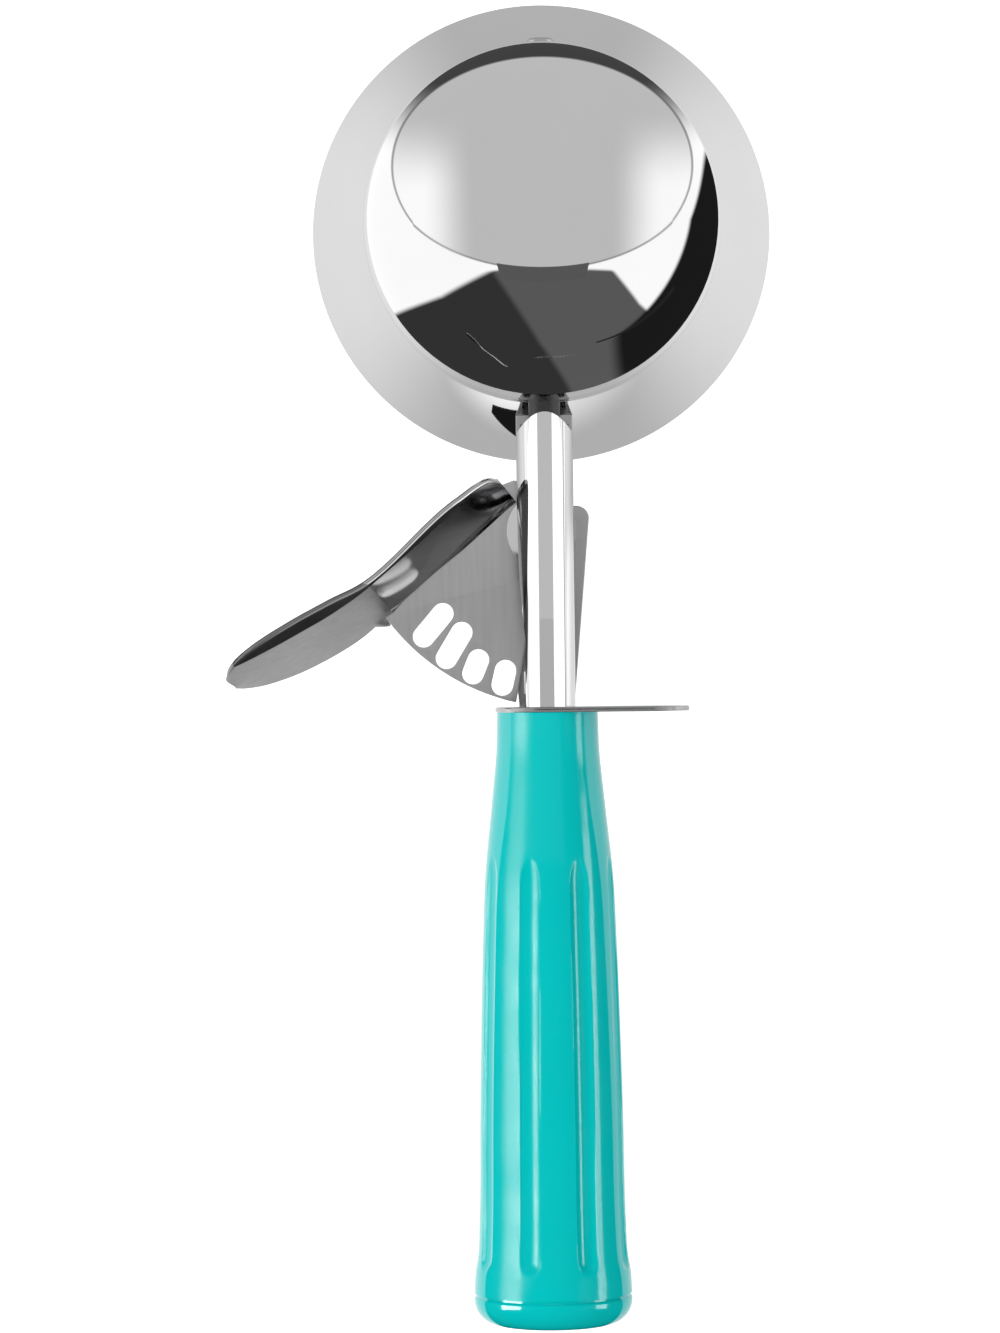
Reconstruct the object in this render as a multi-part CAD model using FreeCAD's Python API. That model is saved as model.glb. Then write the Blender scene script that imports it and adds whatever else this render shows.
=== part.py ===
import FreeCAD, Part
import math
import os

# Lever ice cream scoop, lying mouth down. Millimetres.
# The origin is the centre of the bowl's mouth, +Z goes up into the dome and +Y goes from
# the handle to the bowl. The stem's axis runs along Y at the height of the dome's centre.

V = FreeCAD.Vector
os.makedirs("parts", exist_ok=True)

# Bowl
dome_radius = 34.2
bowl_wall = 0.9
skirt_height = 22.5
mouth_radius = 44.5

# Stem: a round topped channel over a flat plate
channel_radius = 5.4
channel_wall = 0.7
plate_top_drop = 5.0
plate_thickness = 1.5
guard_distance = 92.5
channel_gap = 2.0
channel_arch = 4.0
channel_in_handle = 5.0
closed_channel_length = 10.4
window_height = 2.25
trim_start = 52.7
trim_full = 79.3
trim_height = 3.6
wing_distance = 53.7
wing_half_width = 8.4
wing_foot_half_width = 5.3
wing_corner = 3.0
plate_tang_length = 17.5

# Guard between the stem and the handle
guard_thickness = 0.95
guard_ring_radius = 9.9
guard_tip_reach = 27.0
guard_tip_radius = 8.0

# Handle
handle_length = 117.2
cap_height = 6.6
grip_top_radius = 9.6
grip_neck_radius = 9.8
grip_neck_station = 7.0
grip_shoulder_radius = 12.2
grip_shoulder_station = 31.5
grip_middle_radius = 13.1
grip_middle_station = 55.0
grip_lower_radius = 13.9
grip_lower_station = 97.0
grip_collar_radius = 15.0
grip_swell_share = 0.45
grip_belly = 0.1
grip_collar_share = 0.35
flute_count = 8
flute_first_angle = 27.0
flute_depth = 0.78
flute_cutter_radius = 3.0
flute_start = 29.0
flute_end_margin = 7.5

# Rod inside the handle and what holds it
rod_radius = 4.0
rod_head_radius = 5.5
rod_head_end = 19.0
rod_nose_radius = 4.6
rod_end_margin = 4.6
rod_bore_clearance = 0.2
pocket_clearance = 0.1
tang_rivet_radius = 1.2
tang_rivet_head_radius = 2.0
tang_rivet_head_height = 0.6
tang_rivet_length = 9.0
tang_rivet_first = 8.5
tang_rivet_pitch = 5.5
nut_across_flats = 11.0
nut_height = 4.0
nut_washer_radius = 7.6
nut_washer_thickness = 1.0
cap_recess_radius = 9.0
cap_recess_depth = 9.0
cap_spigot_length = 2.4
cap_spigot_wall = 1.4
cap_edge_radius = 3.6
cap_crown_height = 0.7
cap_seam = 0.5

# Pivot of the lever
pivot_distance = 58.4
pivot_radius = 2.5
pivot_head_radius = 4.2
pivot_head_height = 0.7
pivot_foot_radius = 4.6
pivot_foot_height = 1.2
pivot_washer_radius = 7.4
pivot_washer_thickness = 0.3
spacer_radius = 6.0
rivet_chamfer_share = 0.6
flat_gap = 0.05
running_clearance = 0.06

# How far cutting shapes reach past what they cut, and how exactly edges are matched
over = 1.0
match = 1e-6

# Lever: a slotted sector, bent up into a flange that ends in a thumb paddle
lever_thickness = 1.2
sector_drop = 3.9
sector_rim_margin = 4.3
sector_far_margin = 5.8
sector_first_angle = 10.2
sector_last_angle = 63.0
hub_radius = 8.8
shoulder_reach = 9.6
shoulder_width = 5.0
shoulder_drop = 1.9
ridge_clearance = 0.6
ridge_start_reach = 6.2
slot_pitch_angle = 11.35
first_slot_angle = 16.3
short_slot_count = 2
long_slot_count = 2
slot_width = 4.1
slot_lean = 0.8
short_slot_length = 6.9
short_slot_offset = 0.2
long_slot_length = 9.8
long_slot_offset = -1.0
flange_height = 12.5
flange_lean = 6.4
flange_start_trim = 2.5
flange_full = 0.25
paddle_length = 32.6
paddle_half_height = 10.0
paddle_rise = 0.8
paddle_lean = 8.5
paddle_curl = 7.0
paddle_start = 0.2
paddle_start_low_trim = 1.6
paddle_start_high_trim = 0.6
paddle_start_shift = 0.5
paddle_full = 0.45
paddle_tip_half_height = 2.0
paddle_tip_shift = 1.6
paddle_steps = 4
tip_round_power = 3.2
tip_shift_power = 2.2

# Scraper: shaft, pinion and blade
shaft_radius = 1.9
journal_radius = 1.5
journal_length = 6.4
pinion_teeth = 5
pinion_radius = 4.4
pinion_root_radius = 2.75
pinion_face = 4.2
pinion_setback = 5.1
tooth_tip_width = 1.4
tooth_root_width = 2.2
tooth_foot_radius = 1.65
collar_radius = 2.95
collar_length = 2.3
cross_pin_radius = 0.6
hub_pin_reach = 1.65
blade_gap = 0.5
blade_thickness = 0.8
blade_width = 7.0
blade_rest_angle = 8.0
blade_hub_radius = 3.2
blade_hub_length = 3.0
far_pin_radius = 1.5
far_head_radius = 2.6
far_head_height = 0.7
far_clip_thickness = 0.7
far_clip_gap = 0.15
far_washer_thickness = 0.35

# Bearings
bush_clearance = 0.05
bush_setback = 2.2
bush_spigot_radius = 3.0
bush_rivet_radius = 1.1
bush_rivet_head_radius = 2.0
bush_rivet_head_height = 0.6
bush_rivet_length = 3.6
bush_rivet_first = 4.4
bush_rivet_pitch = 3.8
foot_bearing_radius = 2.9
foot_bearing_reach = 1.3

# Return spring around the shaft
spring_wire = 0.6
spring_radius = 2.5
spring_turns = 7
spring_margin = 0.35
anchor_length = 1.3
anchor_bore_clearance = 0.4
anchor_gap = 0.3

# Levels and stations worked out from the sizes above
axis_z = skirt_height
channel_start = dome_radius + channel_gap
closed_channel_end = channel_start + closed_channel_length
bush_rivet_start = channel_start + bush_rivet_first
bush_rivet_stations = (bush_rivet_start, bush_rivet_start + bush_rivet_pitch)
tang_rivet_stations = (tang_rivet_first, tang_rivet_first + tang_rivet_pitch)
inner_dome = dome_radius - bowl_wall
channel_inner = channel_radius - channel_wall
plate_top = axis_z - plate_top_drop
plate_bottom = plate_top - plate_thickness
lever_bottom = axis_z - sector_drop - lever_thickness / 2
lever_top = axis_z - sector_drop + lever_thickness / 2
guard_top = -guard_distance + guard_thickness / 2
guard_bottom = -guard_distance - guard_thickness / 2
handle_end = guard_bottom - handle_length + guard_thickness / 2
cap_top = handle_end + cap_height
pivot_y = -pivot_distance
gear_ratio = 360 / pinion_teeth / slot_pitch_angle
pinion_pitch_distance = guard_distance - pivot_distance - pinion_setback
sector_radius = pinion_pitch_distance + sector_rim_margin
sector_far_radius = pinion_pitch_distance + sector_far_margin
pinion_front = pivot_y - pinion_pitch_distance + pinion_face / 2
pinion_back = pinion_front - pinion_face
collar_front = pinion_front + collar_length
anchor_front = pivot_y - pivot_washer_radius - anchor_gap
anchor_back = anchor_front - anchor_length


def save(name, shape):
    """Check one piece and write it to its own file."""
    shape = shape.removeSplitter()
    if not shape.isValid():
        print("not valid:", name)
    shape.exportStep("parts/" + name + ".step")
    box = shape.BoundBox
    print(name, len(shape.Solids), round(shape.Volume, 1),
          [round(v, 1) for v in (box.XMin, box.YMin, box.ZMin, box.XMax, box.YMax, box.ZMax)])


def rod_y(radius, y_low, y_high):
    """Cylinder on the stem's axis."""
    return Part.makeCylinder(radius, y_high - y_low, V(0, y_low, axis_z), V(0, 1, 0))


def rod_z(radius, z_low, z_high, x, y):
    """Upright cylinder."""
    return Part.makeCylinder(radius, z_high - z_low, V(x, y, z_low), V(0, 0, 1))


def block(x_low, x_high, y_low, y_high, z_low, z_high):
    """Box from its two corners."""
    return Part.makeBox(x_high - x_low, y_high - y_low, z_high - z_low, V(x_low, y_low, z_low))


def ball(radius):
    """Ball about the dome's centre."""
    return Part.makeSphere(radius, V(0, 0, axis_z))


def tunnel(radius, y_low, y_high, floor):
    """Round topped bar: a cylinder on the axis with straight sides down to the floor."""
    bar = rod_y(radius, y_low, y_high)
    return bar.fuse(block(-radius, radius, y_low, y_high, floor, axis_z))


def revolve_z(edges):
    """Solid turned about the bowl's upright axis from a closed profile."""
    return Part.Face(Part.Wire(edges)).revolve(V(0, 0, 0), V(0, 0, 1), 360)


def bowl_profile(radius, foot_radius):
    """Edges of one wall line, from the mouth up the skirt and over the dome."""
    mouth = V(foot_radius, 0, 0)
    crease = V(radius, 0, axis_z)
    half = math.sqrt(0.5) * radius
    shoulder = V(half, 0, axis_z + half)
    top = V(0, 0, axis_z + radius)
    return [Part.makeLine(mouth, crease), Part.Arc(crease, shoulder, top).toShape()], mouth, top


def bowl_outside():
    """Bowl as if it were solid, used to shape the pieces that meet it."""
    edges, mouth, top = bowl_profile(dome_radius, mouth_radius)
    edges.append(Part.makeLine(top, V(0, 0, 0)))
    edges.append(Part.makeLine(V(0, 0, 0), mouth))
    return revolve_z(edges)


def make_bowl():
    """Dome and flared skirt of one thin wall, with the two pivot holes."""
    slope = math.atan2(mouth_radius - dome_radius, skirt_height)
    inner_mouth_radius = mouth_radius - bowl_wall / math.cos(slope)
    outer, outer_mouth, outer_top = bowl_profile(dome_radius, mouth_radius)
    inner, inner_mouth, inner_top = bowl_profile(inner_dome, inner_mouth_radius)
    edges = outer + [Part.makeLine(outer_top, inner_top)] + inner[::-1]
    edges.append(Part.makeLine(inner_mouth, outer_mouth))
    shell = revolve_z(edges)
    shell = shell.cut(rod_y(bush_spigot_radius, -mouth_radius, 0))
    return shell.cut(rod_y(far_pin_radius, 0, mouth_radius))


def make_stem_cover():
    """Channel over the shaft, with an arched end at the bowl. Its sides stop short where the
    lever swings through."""
    end = guard_bottom - channel_in_handle
    cover = tunnel(channel_radius, end, -channel_start, plate_top)
    cover = cover.cut(tunnel(channel_inner, end - over, 0, plate_top - over))
    reach = channel_radius + over
    low_corner = V(-reach, -channel_start - channel_arch, plate_top - over)
    high_corner = V(reach, low_corner.y, low_corner.z)
    crown = V(0, -channel_start, low_corner.z)
    beyond = [V(reach, 0, low_corner.z), V(-reach, 0, low_corner.z)]
    edges = [Part.Arc(low_corner, crown, high_corner).toShape(),
             Part.makeLine(high_corner, beyond[0]), Part.makeLine(beyond[0], beyond[1]),
             Part.makeLine(beyond[1], low_corner)]
    arch = Part.Face(Part.Wire(edges)).extrude(V(0, 0, plate_top_drop + reach + over))
    cover = cover.cut(arch)
    window_z = axis_z - window_height
    cover = cover.cut(block(-reach, reach, guard_top, -closed_channel_end,
                            plate_top - over, window_z))
    low = plate_top - over
    corners = [V(-reach, -closed_channel_end, low), V(-reach, -closed_channel_end, window_z),
               V(-reach, -trim_start, axis_z), V(-reach, -trim_full, axis_z + trim_height),
               V(-reach, guard_top, axis_z + trim_height), V(-reach, guard_top, low)]
    trim = Part.Face(Part.makePolygon(corners + corners[:1]))
    return cover.cut(trim.extrude(V(reach, 0, 0)))


def make_stem_plate(outside):
    """Flat plate with wings at the pivot, running on into the handle."""
    foot = guard_bottom - plate_tang_length
    top = -dome_radius
    neck = channel_radius
    right = [V(neck, top, 0), V(neck, -wing_distance, 0), V(wing_half_width, -wing_distance, 0),
             V(wing_foot_half_width, guard_top, 0), V(wing_foot_half_width, foot, 0)]
    left = [V(-p.x, p.y, 0) for p in reversed(right)]
    outline = right + left
    plate = Part.Face(Part.makePolygon(outline + outline[:1])).extrude(V(0, 0, plate_thickness))
    wings = [e for e in plate.Edges if abs(e.Vertexes[0].X - e.Vertexes[-1].X) < match
             and abs(e.Vertexes[0].Y + wing_distance) < match
             and abs(e.Vertexes[-1].Y + wing_distance) < match
             and abs(abs(e.Vertexes[0].X) - wing_half_width) < match]
    corner = min(wing_corner, (wing_half_width - neck) * 0.8)
    plate = plate.makeFillet(corner, wings)
    plate.translate(V(0, 0, plate_bottom))
    plate = plate.cut(outside)
    plate = plate.cut(rod_z(pivot_radius, plate_bottom - over, plate_top + over, 0, pivot_y))
    for station in bush_rivet_stations:
        plate = plate.cut(rod_z(bush_rivet_radius, plate_bottom - over, plate_top + over, 0, -station))
    for station in tang_rivet_stations:
        y = guard_bottom - station
        plate = plate.cut(rod_z(tang_rivet_radius, plate_bottom - over, plate_top + over, 0, y))
    return plate


def make_guard():
    """Drop shaped plate: a ring round the stem and a tongue that keeps the finger in place."""
    centre = guard_tip_reach - guard_tip_radius
    lean = math.asin((guard_ring_radius - guard_tip_radius) / centre)

    def around(x, radius, angle):
        return V(x + radius * math.sin(angle), 0, radius * math.cos(angle))

    ring_top = around(0, guard_ring_radius, lean)
    ring_low = V(ring_top.x, 0, -ring_top.z)
    tip_top = around(centre, guard_tip_radius, lean)
    tip_low = V(tip_top.x, 0, -tip_top.z)
    edges = [Part.Arc(ring_low, V(-guard_ring_radius, 0, 0), ring_top).toShape(),
             Part.makeLine(ring_top, tip_top),
             Part.Arc(tip_top, V(guard_tip_reach, 0, 0), tip_low).toShape(),
             Part.makeLine(tip_low, ring_low)]
    guard = Part.Face(Part.Wire(edges)).extrude(V(0, guard_thickness, 0))
    guard.translate(V(0, guard_bottom, axis_z))
    return guard.cut(tunnel(channel_radius, guard_bottom - over, guard_top + over, plate_bottom))


def grip_edges():
    """Outline of the grip from the guard to the cap: four tangent-looking arcs."""
    length = guard_bottom - cap_top

    def at(station, radius):
        return V(radius, guard_bottom - station, axis_z)

    swell_station = (grip_neck_station + grip_shoulder_station) / 2
    swell = (grip_shoulder_radius - grip_neck_radius) * grip_swell_share
    lower_mid = (grip_middle_station + grip_lower_station) / 2
    lower_mid_radius = (grip_middle_radius + grip_lower_radius) / 2 + grip_belly
    collar_mid = (grip_lower_station + length) / 2
    flare = (grip_collar_radius - grip_lower_radius) * grip_collar_share
    stops = [at(0, grip_top_radius), at(grip_neck_station, grip_neck_radius),
             at(swell_station, grip_neck_radius + swell),
             at(grip_shoulder_station, grip_shoulder_radius),
             at(grip_middle_station, grip_middle_radius), at(lower_mid, lower_mid_radius),
             at(grip_lower_station, grip_lower_radius), at(collar_mid, grip_lower_radius + flare),
             at(length, grip_collar_radius)]
    arcs = [Part.Arc(*stops[step:step + 3]).toShape() for step in range(0, 8, 2)]
    return arcs, stops


def make_grip():
    """Turned grip with shallow flutes, bored for the rod and recessed for nut and cap."""
    arcs, points = grip_edges()
    top_axis = V(0, guard_bottom, axis_z)
    low_axis = V(0, cap_top, axis_z)
    edges = [Part.makeLine(top_axis, points[0])] + arcs
    edges += [Part.makeLine(points[-1], low_axis), Part.makeLine(low_axis, top_axis)]
    grip = Part.Face(Part.Wire(edges)).revolve(V(0, 0, axis_z), V(0, 1, 0), 360)
    rise = flute_cutter_radius - flute_depth
    start = V(grip_shoulder_radius + rise, guard_bottom - flute_start, axis_z)
    finish = V(grip_lower_radius + rise, cap_top + flute_end_margin, axis_z)
    run = finish - start
    cutter = Part.makeCylinder(flute_cutter_radius, run.Length, start, run)
    cutter = cutter.fuse(Part.makeSphere(flute_cutter_radius, start))
    cutter = cutter.fuse(Part.makeSphere(flute_cutter_radius, finish))
    for step in range(flute_count):
        turned = cutter.copy()
        turned.rotate(V(0, 0, axis_z), V(0, 1, 0), 360 / flute_count * step + flute_first_angle - 90)
        grip = grip.cut(turned)
    pocket_end = guard_bottom - rod_head_end - pocket_clearance
    pocket_floor = plate_bottom - tang_rivet_head_height - pocket_clearance
    pocket = tunnel(rod_head_radius + pocket_clearance, pocket_end, guard_bottom + over, pocket_floor)
    grip = grip.cut(pocket)
    grip = grip.cut(rod_y(rod_radius + rod_bore_clearance, cap_top - over, guard_bottom))
    return grip.cut(rod_y(cap_recess_radius, cap_top - over, cap_top + cap_recess_depth))


def make_end_cap():
    """Cap of the handle: a shallow cone with a rounded edge and a spigot in the recess."""
    radius = grip_collar_radius
    waist = radius - cap_seam
    crown = V(0, handle_end, axis_z)
    edge_low = V(radius - cap_edge_radius, handle_end + cap_crown_height, axis_z)
    diagonal = math.sqrt(0.5) * cap_edge_radius
    edge_high = V(radius, edge_low.y + cap_edge_radius, axis_z)
    edge_mid = V(edge_low.x + diagonal, edge_high.y - diagonal, axis_z)
    belt = V(radius, cap_top - cap_seam * 2, axis_z)
    seam_low = V(waist, cap_top - cap_seam, axis_z)
    seam_high = V(waist, cap_top, axis_z)
    top = V(0, cap_top, axis_z)
    edges = [Part.makeLine(crown, edge_low),
             Part.Arc(edge_low, edge_mid, edge_high).toShape(),
             Part.makeLine(edge_high, belt), Part.makeLine(belt, seam_low),
             Part.makeLine(seam_low, seam_high), Part.makeLine(seam_high, top),
             Part.makeLine(top, crown)]
    cap = Part.Face(Part.Wire(edges)).revolve(V(0, 0, axis_z), V(0, 1, 0), 360)
    spigot = rod_y(cap_recess_radius - pocket_clearance, cap_top, cap_top + cap_spigot_length)
    spigot = spigot.cut(rod_y(cap_recess_radius - pocket_clearance - cap_spigot_wall,
                              cap_top - over, cap_top + cap_spigot_length + over))
    return cap.fuse(spigot)


def make_handle_rod():
    """Rod down the handle, with a flattened head on the stem plate and a nose in the channel."""
    nose_front = guard_bottom - flat_gap
    head_front = guard_bottom - channel_in_handle
    head_back = guard_bottom - rod_head_end
    rod_back = cap_top + rod_end_margin
    rod = rod_y(rod_nose_radius, head_front, nose_front)
    head = rod_y(rod_head_radius, head_back, head_front)
    head = head.cut(block(-rod_head_radius, rod_head_radius, head_back - over, head_front + over,
                          plate_bottom - over, plate_top))
    rod = rod.fuse(head).fuse(rod_y(rod_radius, rod_back, head_back))
    rod = rod.cut(rod_y(foot_bearing_radius, head_front, nose_front + over))
    top = plate_bottom + tang_rivet_length
    for station in tang_rivet_stations:
        rod = rod.cut(rod_z(tang_rivet_radius, plate_bottom, top, 0, guard_bottom - station))
    return rod


def countersunk_rivets(stations, radius, length, head_radius, head_height):
    """Rivets set from below the stem plate, one at each station along Y."""
    rivets = []
    for y in stations:
        shank = rod_z(radius, plate_bottom, plate_bottom + length, 0, y)
        head = rod_z(head_radius, plate_bottom - head_height, plate_bottom, 0, y)
        rivet = shank.fuse(head)
        rim = [e for e in rivet.Edges if abs(e.BoundBox.ZMax - (plate_bottom - head_height)) < match]
        rivets.append(rivet.makeChamfer(head_height * rivet_chamfer_share, rim))
    return Part.makeCompound(rivets)


def make_nut():
    """Hexagon nut on the end of the handle's rod."""
    low = cap_top + cap_recess_depth - nut_washer_thickness - nut_height
    corner = nut_across_flats / math.sqrt(3)
    points = []
    for step in range(7):
        angle = math.radians(60 * step)
        points.append(V(corner * math.cos(angle), low, axis_z + corner * math.sin(angle)))
    nut = Part.Face(Part.makePolygon(points)).extrude(V(0, nut_height, 0))
    return nut.cut(rod_y(rod_radius, low - over, low + nut_height + over))


def make_nut_washer():
    """Washer between the nut and the floor of the recess."""
    high = cap_top + cap_recess_depth
    washer = rod_y(nut_washer_radius, high - nut_washer_thickness, high)
    return washer.cut(rod_y(rod_radius, high - nut_washer_thickness - over, high + over))


def make_shaft_bushing():
    """Bearing that fills the channel at the bowl, with a spigot through the bowl's wall."""
    front = -channel_start - bush_setback
    bush = tunnel(channel_inner - bush_clearance, -closed_channel_end, front, plate_top)
    spigot = rod_y(bush_spigot_radius, front - over, 0)
    spigot = spigot.cut(ball(inner_dome))
    bush = bush.fuse(spigot)
    bush = bush.cut(rod_y(shaft_radius + running_clearance, -closed_channel_end - over, 0))
    for station in bush_rivet_stations:
        top = plate_bottom + bush_rivet_length
        bush = bush.cut(rod_z(bush_rivet_radius, plate_bottom, top, 0, -station))
    return bush


def make_foot_bearing():
    """Bush for the shaft's lower journal, held in the nose of the handle's rod."""
    low = guard_bottom - channel_in_handle
    high = guard_top + foot_bearing_reach
    bush = rod_y(foot_bearing_radius, low, high)
    return bush.cut(rod_y(journal_radius + running_clearance, low - over, high + over))


def polar(radius, angle):
    """Point at the lever's level, the angle counted from the stem towards the thumb side."""
    turn = math.radians(angle)
    return V(-radius * math.sin(turn), pivot_y - radius * math.cos(turn), lever_bottom)


def sector_slot(radius, length, angle):
    """Round ended slot that leans a little less than the line from the pivot."""
    run = length - slot_width
    low = lever_bottom - over
    high = lever_top + over
    slot = block(-slot_width / 2, slot_width / 2, -run / 2, run / 2, low, high)
    for y in (-run / 2, run / 2):
        slot = slot.fuse(rod_z(slot_width / 2, low, high, 0, y))
    slot.rotate(V(0, 0, 0), V(0, 0, 1), -angle * slot_lean)
    centre = polar(radius, angle)
    slot.translate(V(centre.x, centre.y, 0))
    return slot


def make_thumb_lever():
    """Sector with its slots, the flange bent up from it and the curved paddle, in one piece."""
    ridge_end = polar(sector_far_radius, sector_last_angle)
    ridge_start = V(-channel_radius - ridge_clearance, pivot_y + ridge_start_reach, lever_bottom)
    pivot = V(0, pivot_y, lever_bottom)
    first = polar(sector_radius, sector_first_angle)
    middle = polar(sector_radius, (sector_first_angle + sector_last_angle) / 2)
    edges = [Part.makeLine(pivot, first), Part.Arc(first, middle, ridge_end).toShape(),
             Part.makeLine(ridge_end, ridge_start), Part.makeLine(ridge_start, pivot)]
    plate = Part.Face(Part.Wire(edges)).extrude(V(0, 0, lever_thickness))
    plate = plate.fuse(rod_z(hub_radius, lever_bottom, lever_top, 0, pivot_y))
    shoulder_x = ridge_start.x - shoulder_width
    shoulder = [pivot, V(-pivot_radius, pivot_y + hub_radius - match, lever_bottom),
                V(ridge_start.x, pivot_y + shoulder_reach, lever_bottom),
                V(shoulder_x, pivot_y + shoulder_reach - shoulder_drop, lever_bottom),
                V(shoulder_x, pivot_y, lever_bottom)]
    shoulder_face = Part.Face(Part.makePolygon(shoulder + shoulder[:1]))
    plate = plate.fuse(shoulder_face.extrude(V(0, 0, lever_thickness)))
    angle = first_slot_angle
    for step in range(short_slot_count):
        plate = plate.cut(sector_slot(pinion_pitch_distance + short_slot_offset, short_slot_length,
                                      angle))
        angle += slot_pitch_angle
    for step in range(long_slot_count):
        plate = plate.cut(sector_slot(pinion_pitch_distance + long_slot_offset, long_slot_length, angle))
        angle += slot_pitch_angle

    ridge = (ridge_end - ridge_start).Length
    along = (ridge_end - ridge_start).normalize()
    side = V(along.y, -along.x, 0)

    def section(distance, low_z, high_z, low_lean, high_lean):
        """Thin upright rectangle across the lever, leaning away from the handle."""
        past = max(0.0, distance - ridge) / paddle_length
        base = ridge_start + along * distance + side * (paddle_curl * past * past)
        low = V(base.x, base.y, low_z) + side * low_lean
        high = V(base.x, base.y, high_z) + side * high_lean
        half = side * (lever_thickness / 2)
        ring = [low - half, high - half, high + half, low + half]
        return Part.makePolygon(ring + ring[:1])

    top = lever_bottom + flange_height
    start_lean = flange_lean * (1 - flange_start_trim / flange_height)
    flange = Part.makeLoft([section(0, lever_bottom, top - flange_start_trim, 0, start_lean),
                            section(ridge * flange_full, lever_bottom, top, 0, flange_lean),
                            section(ridge, lever_bottom, top, 0, flange_lean)], True, True)

    low = axis_z + paddle_rise - paddle_half_height
    high = axis_z + paddle_rise + paddle_half_height
    slope = paddle_lean / (high - low)

    def paddle_section(share, low_trim, high_trim, shift):
        """Section of the paddle with its edges trimmed, in one leaning plane."""
        return section(ridge + share * paddle_length, low + low_trim, high - high_trim,
                       slope * low_trim - shift, paddle_lean - slope * high_trim - shift)

    sections = [section(ridge, lever_bottom, top, 0, flange_lean),
                paddle_section(paddle_start, paddle_start_low_trim, paddle_start_high_trim,
                               paddle_start_shift)]
    for step in range(paddle_steps + 1):
        near_tip = math.sin(math.pi / 2 * step / paddle_steps)
        trim = (paddle_half_height - paddle_tip_half_height) * near_tip ** tip_round_power
        sections.append(paddle_section(paddle_full + (1 - paddle_full) * near_tip, trim, trim,
                                       paddle_tip_shift * near_tip ** tip_shift_power))
    paddle = Part.makeLoft(sections, True, False)
    print("lever pieces valid:", plate.isValid(), flange.isValid(), paddle.isValid())
    lever = plate.fuse(flange.fuse(paddle))
    return lever.cut(rod_z(pivot_radius + running_clearance, lever_bottom - over, lever_top + over,
                           0, pivot_y))


def make_pivot_rivet():
    """Rivet through the stem plate and the lever's hub, with a low head under the shaft."""
    head_low = lever_top + flat_gap + pivot_washer_thickness
    rivet = rod_z(pivot_radius, plate_bottom, head_low, 0, pivot_y)
    rivet = rivet.fuse(rod_z(pivot_head_radius, head_low, head_low + pivot_head_height, 0, pivot_y))
    foot = rod_z(pivot_foot_radius, plate_bottom - pivot_foot_height, plate_bottom, 0, pivot_y)
    rim = [e for e in foot.Edges if abs(e.BoundBox.ZMax - plate_bottom + pivot_foot_height) < match]
    return rivet.fuse(foot.makeChamfer(pivot_foot_height * rivet_chamfer_share, rim))


def pivot_ring(radius, low, high):
    """Washer on the pivot rivet."""
    ring = rod_z(radius, low, high, 0, pivot_y)
    return ring.cut(rod_z(pivot_radius, low - over, high + over, 0, pivot_y))


def make_shaft():
    """Shaft from the inside of the bowl down to its journal in the handle's rod."""
    inner_end = -(inner_dome - blade_gap - blade_thickness) + blade_hub_length
    journal_front = guard_top + foot_bearing_reach + flat_gap
    shaft = rod_y(shaft_radius, journal_front, inner_end)
    shaft = shaft.fuse(rod_y(journal_radius, journal_front - journal_length, journal_front))
    pin_y = pinion_front + collar_length / 2
    shaft = shaft.cut(cross_pin(pin_y))
    return shaft.cut(hub_pin_shape())


def cross_pin(y):
    """Pin across the shaft and the pinion's collar."""
    return Part.makeCylinder(cross_pin_radius, collar_radius * 2, V(-collar_radius, y, axis_z),
                             V(1, 0, 0))


def hub_pin_shape():
    """Pin across the shaft and the blade's hub."""
    y = -(inner_dome - blade_gap - blade_thickness) + hub_pin_reach
    return Part.makeCylinder(cross_pin_radius, blade_hub_radius * 2,
                             V(0, y, axis_z - blade_hub_radius), V(0, 0, 1))


def make_pinion():
    """Pinion with a few coarse teeth, which drop into the lever's slots, and a collar."""
    pinion = rod_y(pinion_root_radius, pinion_back, pinion_front)
    rest_phase = (first_slot_angle * gear_ratio) % (360 / pinion_teeth)
    for step in range(pinion_teeth):
        corners = [V(-tooth_root_width / 2, 0, -tooth_foot_radius),
                   V(-tooth_tip_width / 2, 0, -pinion_radius),
                   V(tooth_tip_width / 2, 0, -pinion_radius),
                   V(tooth_root_width / 2, 0, -tooth_foot_radius)]
        tooth = Part.Face(Part.makePolygon(corners + corners[:1])).extrude(V(0, pinion_face, 0))
        tooth.rotate(V(0, 0, 0), V(0, 1, 0), rest_phase + 360 / pinion_teeth * step)
        tooth.translate(V(0, pinion_back, axis_z))
        pinion = pinion.fuse(tooth)
    pinion = pinion.common(rod_y(pinion_radius, pinion_back, pinion_front))
    pinion = pinion.fuse(rod_y(collar_radius, pinion_front, collar_front))
    pinion = pinion.cut(rod_y(shaft_radius, pinion_back - over, collar_front + over))
    return pinion.cut(cross_pin(pinion_front + collar_length / 2))


def make_blade():
    """Curved scraper blade, a band of a thin ball shell that reaches from pole to pole."""
    outer = inner_dome - blade_gap
    inner = outer - blade_thickness
    shell = ball(outer).cut(ball(inner))
    half = blade_width / 2
    band = block(0, dome_radius, -dome_radius, dome_radius, axis_z - half, axis_z + half)
    lug = rod_y(half, -dome_radius, dome_radius)
    blade = shell.common(band.fuse(lug))
    blade = blade.cut(rod_y(shaft_radius, -dome_radius, 0))
    blade = blade.cut(rod_y(far_pin_radius + running_clearance, 0, dome_radius))
    blade.rotate(V(0, 0, axis_z), V(0, 1, 0), -blade_rest_angle)
    return blade


def make_blade_hub():
    """Hub that clamps the blade's end to the shaft, inside the bowl."""
    inner = inner_dome - blade_gap - blade_thickness
    hub = rod_y(blade_hub_radius, -dome_radius, -inner + blade_hub_length).common(ball(inner))
    hub = hub.cut(rod_y(shaft_radius, -dome_radius, 0))
    return hub.cut(hub_pin_shape())


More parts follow.
